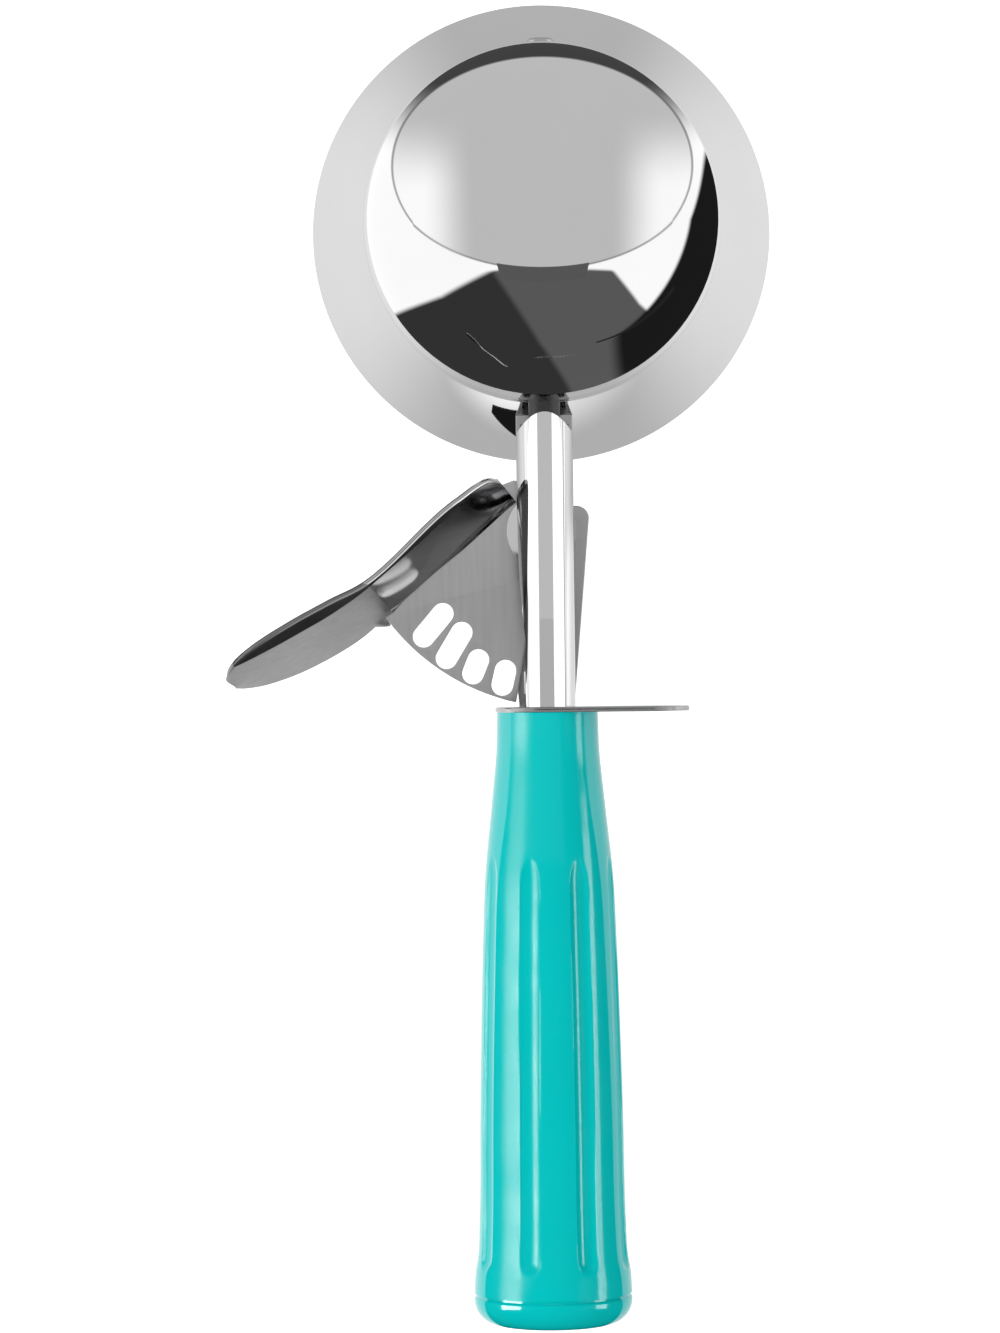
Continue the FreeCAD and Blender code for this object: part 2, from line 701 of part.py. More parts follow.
def make_far_pin():
    """Rivet that carries the blade's other end, through the bowl's far wall."""
    inner = inner_dome - blade_gap - blade_thickness
    end = inner - far_clip_gap - far_clip_thickness
    pin = rod_y(far_pin_radius, end, dome_radius)
    head = rod_y(far_head_radius, dome_radius - over, dome_radius + far_head_height)
    rim = [e for e in head.Edges if abs(e.BoundBox.YMin - dome_radius - far_head_height) < match]
    head = head.makeChamfer(far_head_height * rivet_chamfer_share, rim)
    return pin.fuse(head.cut(bowl_outside()))


def make_far_clip():
    """Clip that keeps the blade on the far rivet."""
    inner = inner_dome - blade_gap - blade_thickness
    high = inner - far_clip_gap
    low = high - far_clip_thickness
    clip = rod_y(far_head_radius, low, high).common(ball(high))
    return clip.cut(rod_y(far_pin_radius, low - over, high + over))


def make_far_washer():
    """Thin washer between the blade and the bowl's wall."""
    washer = rod_y(far_head_radius, 0, dome_radius)
    washer = washer.common(ball(inner_dome).cut(ball(inner_dome - far_washer_thickness)))
    return washer.cut(rod_y(far_pin_radius, 0, dome_radius))


def make_spring():
    """Coil around the shaft between its anchor and the pinion's collar."""
    low = collar_front + spring_margin
    high = anchor_back - spring_margin
    pitch = (high - low) / spring_turns

    half = spring_wire / 2
    corners = [V(spring_radius - half, 0, -half), V(spring_radius + half, 0, -half),
               V(spring_radius + half, 0, half), V(spring_radius - half, 0, half)]
    helix = Part.Wire(Part.makeHelix(pitch, high - low, spring_radius))
    section = Part.makePolygon(corners + corners[:1])
    coil = helix.makePipeShell([section], True, True)
    coil.rotate(V(0, 0, 0), V(1, 0, 0), -90)
    coil.translate(V(0, low, axis_z))
    print("spring gap between turns", round(pitch - spring_wire, 2))
    return coil


def make_spring_anchor():
    """Block under the channel's roof that holds the spring's fixed end."""
    block_shape = rod_y(channel_inner, anchor_back, anchor_front)
    floor = axis_z - window_height
    reach = channel_radius + over
    block_shape = block_shape.cut(block(-reach, reach, anchor_back - over, anchor_front + over,
                                        axis_z - reach, floor))
    return block_shape.cut(rod_y(shaft_radius + anchor_bore_clearance, anchor_back - over,
                                 anchor_front + over))


outside = bowl_outside()
washer_low = lever_top + flat_gap
save("bowl", make_bowl())
save("stem_cover", make_stem_cover())
save("stem_plate", make_stem_plate(outside))
save("finger_guard", make_guard())
save("handle_grip", make_grip())
save("end_cap", make_end_cap())
save("handle_rod", make_handle_rod())
save("tang_rivets", countersunk_rivets([guard_bottom - s for s in tang_rivet_stations],
                                       tang_rivet_radius, tang_rivet_length,
                                       tang_rivet_head_radius, tang_rivet_head_height))
save("rod_nut", make_nut())
save("nut_washer", make_nut_washer())
save("shaft_bushing", make_shaft_bushing())
save("bushing_rivets", countersunk_rivets([-s for s in bush_rivet_stations], bush_rivet_radius,
                                          bush_rivet_length, bush_rivet_head_radius,
                                          bush_rivet_head_height))
save("foot_bearing", make_foot_bearing())
save("thumb_lever", make_thumb_lever())
save("pivot_rivet", make_pivot_rivet())
save("pivot_washer", pivot_ring(pivot_washer_radius, washer_low,
                                washer_low + pivot_washer_thickness))
save("spacer_washer", pivot_ring(spacer_radius, plate_top, lever_bottom - flat_gap))
save("scraper_shaft", make_shaft())
save("drive_pinion", make_pinion())
save("pinion_pin", cross_pin(pinion_front + collar_length / 2))
save("scraper_blade", make_blade())
save("blade_hub", make_blade_hub())
save("hub_pin", hub_pin_shape())
save("far_pivot_pin", make_far_pin())
save("far_pivot_clip", make_far_clip())
save("far_pivot_washer", make_far_washer())
save("return_spring", make_spring())
save("spring_anchor", make_spring_anchor())
print("gear ratio", round(gear_ratio, 4))
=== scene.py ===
# %% [markdown]
# # A lever ice cream scoop
# The scoop lies mouth down: a chromed bowl, a stem with a slotted thumb lever, a teal grip.
# The frame holds every piece at its real place, so each new surface here only has to follow
# the frame's numbers. All lengths are metres, +Z points up into the dome and +Y runs from
# the handle to the bowl.

# %% Load the frame
import bmesh
import bpy
import numpy as np
from mathutils import Matrix, Vector


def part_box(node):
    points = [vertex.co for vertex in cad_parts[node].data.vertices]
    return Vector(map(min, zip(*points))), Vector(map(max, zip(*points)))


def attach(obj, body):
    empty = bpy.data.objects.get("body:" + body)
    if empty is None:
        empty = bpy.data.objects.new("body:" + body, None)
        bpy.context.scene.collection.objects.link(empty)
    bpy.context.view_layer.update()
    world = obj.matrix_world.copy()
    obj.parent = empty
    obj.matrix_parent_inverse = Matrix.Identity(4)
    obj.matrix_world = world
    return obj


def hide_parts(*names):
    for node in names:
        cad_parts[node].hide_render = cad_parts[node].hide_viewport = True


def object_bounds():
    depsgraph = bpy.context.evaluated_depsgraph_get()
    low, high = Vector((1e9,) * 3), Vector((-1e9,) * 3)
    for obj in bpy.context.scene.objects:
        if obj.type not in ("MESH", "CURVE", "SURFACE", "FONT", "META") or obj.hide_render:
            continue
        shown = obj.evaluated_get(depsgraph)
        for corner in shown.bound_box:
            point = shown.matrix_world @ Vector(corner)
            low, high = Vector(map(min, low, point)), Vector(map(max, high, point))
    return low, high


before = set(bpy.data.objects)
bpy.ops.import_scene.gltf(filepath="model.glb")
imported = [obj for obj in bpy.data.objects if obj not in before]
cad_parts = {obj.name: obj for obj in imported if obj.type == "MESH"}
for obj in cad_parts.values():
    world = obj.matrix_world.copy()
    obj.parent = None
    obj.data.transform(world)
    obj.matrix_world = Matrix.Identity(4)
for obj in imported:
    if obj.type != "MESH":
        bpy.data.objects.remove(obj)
cad_low, cad_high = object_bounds()
MM = 0.001
print("whole object, mm:", [round(v / MM, 1) for v in (cad_high - cad_low)])

# %% [markdown]
# The stem's axis is level and lies as high as the dome's centre. Both are read from the
# frame: the bowl's box gives the mouth, and the rod in the grip gives the axis.

# %% Sizes read from the frame
bowl_high = np.array(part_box("bowl")[1])
hub_low, hub_high = (np.array(v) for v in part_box("foot_bearing"))
guard_low, guard_high = (np.array(v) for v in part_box("finger_guard"))
grip_low, grip_high = (np.array(v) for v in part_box("handle_grip"))
cap_low = np.array(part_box("end_cap")[0])
AXIS_Z = (hub_low[2] + hub_high[2]) / 2
MOUTH_R = bowl_high[0]
DOME_R = bowl_high[2] - AXIS_Z
GUARD_TOP = guard_high[1]
GUARD_FOOT = guard_low[1]
print("axis height %.2f mm, dome %.2f mm, mouth %.2f mm" %
      (AXIS_Z / MM, DOME_R / MM, MOUTH_R / MM))

# %% [markdown]
# Every new piece is a grid of points. One helper turns such a grid into a mesh: the rows and
# columns may close on themselves, and the ends may get flat caps. All index work is done on
# whole arrays.

# %% Grid to mesh
def make_piece(name, grid, close_rows=False, close_columns=False, caps=False):
    """Mesh from points[row, column]: each four neighbours make one face. A closed direction
    joins its last line to its first, and caps fill the first and last row with one face."""
    rows, columns = grid.shape[:2]
    index = np.arange(rows * columns).reshape(rows, columns)
    if close_rows:
        index = np.vstack([index, index[:1]])
    if close_columns:
        index = np.hstack([index, index[:, :1]])
    quads = np.stack([index[:-1, :-1], index[:-1, 1:], index[1:, 1:], index[1:, :-1]], axis=-1)
    faces = quads.reshape(-1, 4).tolist()
    if caps:
        faces.append(list(range(columns))[::-1])
        faces.append(list(range((rows - 1) * columns, rows * columns)))
    mesh = bpy.data.meshes.new(name)
    mesh.from_pydata(grid.reshape(-1, 3).tolist(), [], faces)
    return finish_mesh(name, mesh)


def finish_mesh(name, mesh, weld=2e-6, sharp=35.0):
    """Welds doubled points, turns the faces outwards, smooths all but sharp edges and links
    the object."""
    work = bmesh.new()
    work.from_mesh(mesh)
    bmesh.ops.remove_doubles(work, verts=work.verts, dist=weld)
    bmesh.ops.dissolve_degenerate(work, dist=weld / 2, edges=work.edges)
    bmesh.ops.recalc_face_normals(work, faces=work.faces)
    work.to_mesh(mesh)
    work.free()
    mesh.shade_smooth()
    mesh.set_sharp_from_angle(angle=np.radians(sharp))
    piece = bpy.data.objects.new(name, mesh)
    bpy.context.scene.collection.objects.link(piece)
    return piece


print("grid helper ready: rows and columns of points become four-sided faces")

# %% [markdown]
# A finished piece needs three things: the body that carries it, its finish, and the frame
# nodes that it stands for. One helper gives it all three and prints its size, so that a slip
# shows at once.

# %% Placing a piece
def place(piece, body, slot, material, *replaced):
    """Gives a piece its body and its finish and hides the frame nodes that it stands for. The
    argument slot is not used.
    """
    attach(piece, body)
    if replaced:
        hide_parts(*replaced)
    piece.data.materials.clear()
    piece.data.materials.append(material)
    size = [round(v / MM, 1) for v in piece.dimensions]
    print(piece.name, "faces", len(piece.data.polygons), "mm", size)


print("frame nodes to dress:", len(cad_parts))

# %% [markdown]
# Most outlines of the scoop are straight lines joined by parts of circles, and the side of the
# grip is a smooth curve through a few measured stops. Both come from short formulas, so a shape
# stays smooth however finely it is sampled.

# %% Arcs and smooth curves
def arc(centre, radius, start, stop, count):
    """Points of a circle about centre, by angle in degrees from start to stop."""
    turn = np.radians(np.linspace(start, stop, count))
    return np.stack([centre[0] + radius * np.cos(turn), centre[1] + radius * np.sin(turn)], 1)


def smooth_line(stops, count):
    """Curve through the stops: a cubic with each stop's slope taken from its neighbours."""
    stops = np.asarray(stops, float)
    along = np.concatenate([[0], np.cumsum(np.linalg.norm(np.diff(stops, axis=0), axis=1))])
    slope = np.gradient(stops, along, axis=0)
    at = np.linspace(0, along[-1], count)
    piece = np.clip(np.searchsorted(along, at, side="right") - 1, 0, len(stops) - 2)
    width = (along[piece + 1] - along[piece])[:, None]
    t = ((at - along[piece])[:, None]) / width
    a, b = stops[piece], stops[piece + 1]
    ma, mb = slope[piece] * width, slope[piece + 1] * width
    return ((2 * t**3 - 3 * t**2 + 1) * a + (t**3 - 2 * t**2 + t) * ma
            + (3 * t**2 - 2 * t**3) * b + (t**3 - t**2) * mb)


print("a quarter circle in three points:", arc((0, 0), 1.0, 0, 90, 3).round(2).tolist())

# %% [markdown]
# ## Finishes
# Polished chrome is nearly a mirror: its look comes from what it reflects, so the material
# only adds a faint ripple and smudges in the roughness. Brushed steel gets fine lines, drawn
# with noise that is stretched one way, and the grip's plastic gets a clear gloss over a
# colour that varies very little.

# %% Material helpers
def new_material(name):
    """Empty node material with a Principled shader; returns material, nodes, links, shader."""
    material = bpy.data.materials.new(name)
    material.use_nodes = True
    nodes, links = material.node_tree.nodes, material.node_tree.links
    return material, nodes, links, nodes["Principled BSDF"]


def noise(nodes, links, scale, stretch=(1, 1, 1), detail=3.0, turn=(0, 0, 0)):
    """Noise on Object coordinates, stretched and turned by a Mapping node."""
    place_node = nodes.new("ShaderNodeTexCoord")
    mapping = nodes.new("ShaderNodeMapping")
    mapping.inputs["Scale"].default_value = stretch
    mapping.inputs["Rotation"].default_value = turn
    texture = nodes.new("ShaderNodeTexNoise")
    texture.inputs["Scale"].default_value = scale
    texture.inputs["Detail"].default_value = detail
    links.new(place_node.outputs["Object"], mapping.inputs["Vector"])
    links.new(mapping.outputs["Vector"], texture.inputs["Vector"])
    return texture.outputs["Fac"]


NOISE_LOW, NOISE_HIGH = 0.3, 0.7


def spread(nodes, links, fac, low, high):
    """Maps a texture's middle range, where most of its values lie, to the values low to high."""
    ranged = nodes.new("ShaderNodeMapRange")
    ranged.inputs["From Min"].default_value = NOISE_LOW
    ranged.inputs["From Max"].default_value = NOISE_HIGH
    ranged.inputs["To Min"].default_value = low
    ranged.inputs["To Max"].default_value = high
    links.new(fac, ranged.inputs["Value"])
    return ranged.outputs["Result"]


def blend_colours(nodes, links, fac, first, second):
    """Colour between first and second by fac."""
    mix = nodes.new("ShaderNodeMix")
    mix.data_type = "RGBA"
    mix.inputs["A"].default_value = (*first, 1)
    mix.inputs["B"].default_value = (*second, 1)
    links.new(fac, mix.inputs["Factor"])
    return mix.outputs["Result"]


def bump(nodes, links, fac, shader, strength, distance):
    """Small height from a texture, added to the shader's normal."""
    node = nodes.new("ShaderNodeBump")
    node.inputs["Strength"].default_value = strength
    node.inputs["Distance"].default_value = distance
    links.new(fac, node.inputs["Height"])
    links.new(node.outputs["Normal"], shader.inputs["Normal"])


print("texture helpers ready, materials so far:", len(bpy.data.materials))

# %% [markdown]
# Two kinds of metal are on the scoop. Chrome and turned steel are polished, so they only get
# clouds of smudges and a ripple that is far too low to see by itself. Sheet steel is rubbed one
# way, and its lines are noise squeezed along that way, which needs no picture of a brushed plate.

# %% Two kinds of metal
SMUDGE_SCALE, RIPPLE_SCALE, RIPPLE_SHARE = 55.0, 28.0, 0.12
LINE_SCALE, CLOUD_SCALE, LINE_SHARE, LINE_DEEP = 900.0, 60.0, 0.15, 0.01 * MM


def polished_metal(name, colour, dark, rough_low, rough_high, ripple):
    """Mirror bright metal with soft smudges and a faint ripple."""
    material, nodes, links, shader = new_material(name)
    shader.inputs["Metallic"].default_value = 1.0
    smudge = noise(nodes, links, SMUDGE_SCALE, detail=5.0)
    links.new(blend_colours(nodes, links, smudge, colour, dark), shader.inputs["Base Color"])
    links.new(spread(nodes, links, smudge, rough_low, rough_high), shader.inputs["Roughness"])
    bump(nodes, links, noise(nodes, links, RIPPLE_SCALE, detail=1.0), shader, RIPPLE_SHARE,
         ripple)
    return material


def brushed_metal(name, colour, dark, rough_low, rough_high, stretch, turn=(0, 0, 0)):
    """Steel with fine lines along one direction."""
    material, nodes, links, shader = new_material(name)
    shader.inputs["Metallic"].default_value = 1.0
    lines = noise(nodes, links, LINE_SCALE, stretch=stretch, turn=turn, detail=4.0)
    cloud = noise(nodes, links, CLOUD_SCALE, detail=4.0)
    links.new(blend_colours(nodes, links, lines, colour, dark), shader.inputs["Base Color"])
    links.new(spread(nodes, links, cloud, rough_low, rough_high), shader.inputs["Roughness"])
    bump(nodes, links, lines, shader, LINE_SHARE, LINE_DEEP)
    return material


print("metal helpers ready")

# %% [markdown]
# Every kind of piece gets its own steel. The sheet parts differ in how rough they are and
# which way their grain runs. Their colours are lit and shaded copies of one steel, paler and
# darker for how the light falls on each: painted light and painted shade. The bearings deep
# inside the stem are dull and near black, which is painted shade. Each line gives the two
# colours, the roughness from and to, and either the height of the ripple or the way the grain
# runs.

# %% The steels
chrome = polished_metal("polished chrome", (0.83, 0.83, 0.835), (0.78, 0.78, 0.785),
                        0.015, 0.05, 0.01 * MM)
plain_steel = polished_metal("plain steel", (0.62, 0.62, 0.63), (0.5, 0.5, 0.51),
                             0.16, 0.3, 0.02 * MM)
plate_steel = brushed_metal("brushed stem steel", (0.58, 0.58, 0.585), (0.46, 0.46, 0.465),
                            0.26, 0.38, (1.0, 0.05, 1.0))
# The sector's paler colour is painted light: the same sheet steel, made lighter where the grey
# card takes light away.
sector_steel_painted_light = brushed_metal("brushed sector steel with painted light", (0.70, 0.70, 0.705), (0.54, 0.54, 0.545),
                             0.34, 0.44, (1.0, 0.06, 1.0), (0, 0, 0.8))
flange_steel = polished_metal("rubbed flange steel", (0.60, 0.60, 0.605), (0.50, 0.50, 0.505),
                              0.08, 0.16, 0.03 * MM)
# The paddle's brushing is real. Its dark colour is painted shade on the same sheet steel.
paddle_steel_painted_shade = brushed_metal("brushed paddle steel with painted shade", (0.30, 0.30, 0.305), (0.22, 0.22, 0.225),
                             0.34, 0.46, (0.06, 1.0, 1.0), (0, 0, 0.6))
bright_steel = polished_metal("bright washer steel", (0.85, 0.85, 0.85), (0.78, 0.78, 0.78),
                              0.05, 0.1, 0.01 * MM)
# Near black steel for the pieces in the stem's shade: its darkness is painted shade.
bearing_steel_painted_shade = polished_metal("bearing steel with painted shade", (0.10, 0.10, 0.10), (0.06, 0.06, 0.06),
                            0.25, 0.4, 0.02 * MM)
guard_steel = brushed_metal("brushed guard steel", (0.50, 0.50, 0.505), (0.40, 0.40, 0.405),
                            0.16, 0.26, (0.05, 1.0, 1.0))
wire_steel = polished_metal("spring wire", (0.45, 0.45, 0.46), (0.33, 0.33, 0.34),
                            0.2, 0.35, 0.02 * MM)
print("steels made:", len(bpy.data.materials))

# %% [markdown]
# The grip is moulded plastic, coloured right through and glossy from the mould. Its colour
# drifts very little, a clear coat gives the sharp streaks, and a faint uneven height breaks them
# up slightly, as on the real handle.

# %% Grip plastic
DRIFT_SCALE, GLOSS_SCALE, MOULD_SCALE = 30.0, 120.0, 240.0
MOULD_SHARE, MOULD_DEEP = 0.08, 0.02 * MM
GLOSS_ROUGH, SHINE, COAT, COAT_ROUGH = (0.09, 0.14), 0.5, 0.3, 0.08


def gloss_plastic(name, colour, deep):
    """Glossy moulded plastic: even colour with a slow drift, a hint of moulding ripple."""
    material, nodes, links, shader = new_material(name)
    drift = noise(nodes, links, DRIFT_SCALE, detail=2.0)
    links.new(blend_colours(nodes, links, drift, colour, deep), shader.inputs["Base Color"])
    cloud = noise(nodes, links, GLOSS_SCALE, detail=5.0)
    links.new(spread(nodes, links, cloud, *GLOSS_ROUGH), shader.inputs["Roughness"])
    shader.inputs["Specular IOR Level"].default_value = SHINE
    shader.inputs["Coat Weight"].default_value = COAT
    shader.inputs["Coat Roughness"].default_value = COAT_ROUGH
    bump(nodes, links, noise(nodes, links, MOULD_SCALE, detail=3.0), shader, MOULD_SHARE,
         MOULD_DEEP)
    return material


teal = gloss_plastic("teal grip plastic", (0.0, 0.555, 0.545), (0.0, 0.52, 0.51))
print("finishes made:", len(bpy.data.materials))

# %% [markdown]
# The rivets, washers, shaft, pinion and blade are turned or stamped pieces whose frame meshes
# are good as they are, so they only get a steel. The pieces that sit in the stem's shade get
# the near black one, whose darkness is painted shade.

# %% Steel for the frame's own meshes
IN_THE_SHADE = ("shaft_bushing", "bushing_rivets", "foot_bearing", "spring_anchor")
for node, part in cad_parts.items():
    part.data.materials.clear()
    part.data.materials.append(bearing_steel_painted_shade if node in IN_THE_SHADE else plain_steel)
print("dark pieces:", len(IN_THE_SHADE), "plain pieces:", len(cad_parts) - len(IN_THE_SHADE))

# %% [markdown]
# ## The bowl
# A thin pressed shell: a half ball over a flared skirt. Mirror chrome shows every facet, so
# the shell is one profile turned round the upright axis in fine steps. The crease between
# dome and skirt gets a small round, because pressed metal has no knife-sharp corner.

# %% Bowl: the wall's line
WALL = 0.9 * MM
CREASE_ROUND = 1.6 * MM
SKIRT_STEPS, CREASE_STEPS, DOME_STEPS = 40, 14, 110
flare = np.arctan2(MOUTH_R - DOME_R, AXIS_Z)


def wall_line(radius, foot, crease_round):
    """Radius and height from the mouth to the top: a slanted line, a small round at the
    crease that touches both, and the dome's quarter circle."""
    reach = radius + crease_round
    slant = np.array([radius - foot, AXIS_Z])
    slant = slant / np.linalg.norm(slant)
    outward = np.array([slant[1], -slant[0]])
    # The small circle lies outside the wall, one crease_round off the slant and the dome.
    start = np.array([foot, 0.0]) + outward * crease_round
    middle = np.array([0.0, AXIS_Z])
    back = start - middle
    b = back @ slant
    c = back @ back - reach**2
    along = -b - np.sqrt(b * b - c)
    small = start + slant * along
    on_slant = small - outward * crease_round
    toward = (middle - small) / np.linalg.norm(middle - small)
    first = np.degrees(np.arctan2(-outward[1], -outward[0]))
    last = np.degrees(np.arctan2(toward[1], toward[0]))
    if first < 0:
        first += 360
    if last < 0:
        last += 360
    on_dome = small + toward * crease_round
    rise = np.degrees(np.arctan2(on_dome[1] - AXIS_Z, on_dome[0]))
    skirt = np.linspace([foot, 0.0], on_slant, SKIRT_STEPS)
    fillet = arc(small, crease_round, first, last, CREASE_STEPS)
    dome = arc(middle, radius, rise, 90, DOME_STEPS)
    return np.vstack([skirt[:-1], fillet, dome[1:]])


inner_foot = MOUTH_R - WALL / np.cos(flare)
outer_wall = wall_line(DOME_R, MOUTH_R, CREASE_ROUND)
inner_wall = wall_line(DOME_R - WALL, inner_foot, CREASE_ROUND + WALL)
print("skirt leans out by %.1f degrees" % np.degrees(flare))

# %% [markdown]
# The outer and the inner line together are a closed profile of the pressed sheet. A spinning
# lathe turns the real blank about its axis, and the grid does the same: one row of points for
# each step of the turn, joined to the first at the end, so no seam is left open.

# %% Bowl: the turned shell
ROUND_STEPS = 288


def turned_shell(name, outer, inner):
    """Closed profile turned about Z: up the outer wall and down the inner one."""
    profile = np.vstack([outer, inner[::-1]])
    turn = np.linspace(0, 2 * np.pi, ROUND_STEPS, endpoint=False)[:, None]
    radius = np.clip(profile[None, :, 0], 0, None)
    height = np.broadcast_to(profile[None, :, 1], (ROUND_STEPS, len(profile)))
    grid = np.stack([radius * np.cos(turn), radius * np.sin(turn), height], axis=-1)
    return make_piece(name, grid, close_rows=True, close_columns=True)


bowl = turned_shell("bowl_shell", outer_wall, inner_wall)
place(bowl, "root", "chrome", chrome, "bowl")

# %% [markdown]
# ## The stem channel
# One strip of chromed sheet bent over the shaft. Its left side is cut back where the lever
# swings in, so each cross-section runs only as far down the left as that cut allows. The
# end at the bowl is arched: its stations bend with the distance from the middle.

# %% Stem channel: cross-section
cover_low, cover_high = (np.array(v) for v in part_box("stem_cover"))
CHANNEL_R = cover_high[0]
CHANNEL_WALL = 0.7 * MM
FLANK = AXIS_Z - cover_low[2]
FLANK_STEPS, ARCH_STEPS = 10, 97


def channel_side(radius, left, right):
    """Points across the channel at fixed steps: the left side from its foot up, the half
    circle, the right side down. left and right hold how far below the axis each side ends;
    steps beyond such an end stay on it."""
    climb = np.linspace(FLANK, 0, FLANK_STEPS, endpoint=False)
    turn = np.linspace(0, np.pi, ARCH_STEPS)
    left_end = np.arcsin(np.clip(-left / radius, 0, 1))[:, None]
    turn = np.maximum(turn[None, :], left_end)
    arch_x, arch_z = -radius * np.cos(turn), radius * np.sin(turn)
    left_z = np.where(left[:, None] > 0, -np.minimum(climb[None, :], left[:, None]),
                      arch_z[:, :1])
    left_x = np.broadcast_to(arch_x[:, :1], left_z.shape)
    right_z = -np.minimum(climb[None, ::-1], right[:, None])
    right_x = np.full(right_z.shape, radius)
    return np.hstack([left_x, arch_x, right_x]), np.hstack([left_z, arch_z, right_z])


print("channel radius %.1f mm, sides %.1f mm" % (CHANNEL_R / MM, FLANK / MM))

# %% [markdown]
# The strip is closed at the bowl, open at both sides along the lever, and closed again inside
# the grip. Each station down the stem has its own two side lengths, and where the sides start
# or end at once, two stations lie a hair apart.

# %% Stem channel: stations along the stem
CLOSED_END = -46.6 * MM
TRIM_START, TRIM_FULL, TRIM_HEIGHT = -52.7 * MM, -79.3 * MM, 3.6 * MM
WINDOW, ARCH, HAIR = 2.25 * MM, 4.0 * MM, 0.01 * MM
CLOSED_STATIONS, TRIM_STATIONS, OPEN_STATIONS = 24, 40, 10
stations = np.concatenate([np.linspace(cover_high[1], CLOSED_END, CLOSED_STATIONS),
                           [CLOSED_END - HAIR],
                           np.linspace(TRIM_START, TRIM_FULL, TRIM_STATIONS),
                           np.linspace(TRIM_FULL, GUARD_TOP, OPEN_STATIONS)[1:],
                           [GUARD_TOP - HAIR, cover_low[1]]])
left_cut = np.interp(-stations, [-CLOSED_END, -TRIM_START, -TRIM_FULL, -GUARD_TOP],
                     [WINDOW, 0, -TRIM_HEIGHT, -TRIM_HEIGHT])
inside_window = (stations < CLOSED_END) & (stations >= GUARD_TOP)
left_cut = np.where(inside_window, left_cut, FLANK)
right_cut = np.where(inside_window, WINDOW, FLANK)
outer_x, outer_z = channel_side(CHANNEL_R, left_cut, right_cut)
inner_x, inner_z = channel_side(CHANNEL_R - CHANNEL_WALL, left_cut, right_cut)
ring_x = np.hstack([outer_x, inner_x[:, ::-1]])
ring_z = np.hstack([outer_z, inner_z[:, ::-1]])
fade = np.clip((stations - CLOSED_END) / (cover_high[1] - CLOSED_END), 0, 1)[:, None]
ring_y = stations[:, None] - fade * ARCH * (ring_x / CHANNEL_R) ** 2
channel = make_piece("stem_channel", np.stack([ring_x, ring_y, ring_z + AXIS_Z], -1),
                     close_columns=True, caps=True)
place(channel, "root", "chrome", chrome, "stem_cover")

# %% [markdown]
# ## The thumb lever
# The sector is flat sheet with slots, bent up along a ridge into a flange that widens into
# the thumb paddle. The flat part is a flat outline with holes, filled by the curve tool and
# thickened; the flange is a strip of cross-sections along the lever.

# %% Flat sheet helper
def sheet_piece(name, outlines, low, high, bevel):
    """Flat sheet between two heights from closed outlines (the first outside, the rest
    holes), with a small rounded edge."""
    curve = bpy.data.curves.new(name, "CURVE")
    curve.dimensions = "2D"
    curve.fill_mode = "BOTH"
    curve.extrude = (high - low) / 2 - bevel
    curve.bevel_depth = bevel
    curve.bevel_resolution = 3
    curve.offset = -bevel
    for outline in outlines:
        spline = curve.splines.new("POLY")
        spline.points.add(len(outline) - 1)
        flat = np.zeros((len(outline), 4))
        flat[:, :2] = outline
        flat[:, 3] = 1
        spline.points.foreach_set("co", flat.ravel())
        spline.use_cyclic_u = True
    helper = bpy.data.objects.new(name + "_outline", curve)
    bpy.context.scene.collection.objects.link(helper)
    mesh = bpy.data.meshes.new_from_object(helper)
    bpy.data.objects.remove(helper)
    bpy.data.curves.remove(curve)
    mesh.transform(Matrix.Translation((0, 0, (low + high) / 2)))
    return finish_mesh(name, mesh, weld=1e-6, sharp=15.0)


print("sheet helper ready")

# %% [markdown]
# The sector is a slice of a disc about the pivot. Its four slots are a slot pitch apart, so
# that the pinion's teeth fall into them one after another as the thumb presses: the two by the
# stem are short and the two at the thumb are long.

# %% Lever: the sector's lines
SLIDE_GAP = 0.05 * MM
sector_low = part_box("spacer_washer")[1][2] + SLIDE_GAP
LEVER_THICK = 1.2 * MM
PIVOT = np.array([0.0, -58.4 * MM])
SECTOR_R, SECTOR_FAR_R = 33.3 * MM, 34.8 * MM
FIRST_ANGLE, LAST_ANGLE = 10.2, 63.0
HUB_R = 8.8 * MM
SLOT_PITCH, FIRST_SLOT, SLOT_LEAN, SLOT_WIDE, SLOT_STEPS = 11.35, 16.3, 0.8, 4.1 * MM, 18
SHORT_SLOT, LONG_SLOT = (29.2 * MM, 6.9 * MM), (28.0 * MM, 9.8 * MM)
SHOULDER_REACH, SHOULDER_WIDE = 9.6 * MM, 5.0 * MM
HUB_FLAT = 5.0 * MM


def polar(radius, angle):
    """Point in plan, the angle in degrees from the stem towards the thumb side."""
    turn = np.radians(angle)
    return PIVOT + np.stack([-radius * np.sin(turn), -radius * np.cos(turn)], -1)


def slot_outline(radius, length, angle):
    """Round ended slot: two half circles joined by straight sides, leaning a little less
    than the line from the pivot."""
    run = (length - SLOT_WIDE) / 2
    ends = [arc((0, run), SLOT_WIDE / 2, 0, 180, SLOT_STEPS),
            arc((0, -run), SLOT_WIDE / 2, 180, 360, SLOT_STEPS)]
    lean = np.radians(-angle * SLOT_LEAN)
    turn = np.array([[np.cos(lean), -np.sin(lean)], [np.sin(lean), np.cos(lean)]])
    return np.vstack(ends) @ turn.T + polar(radius, angle)


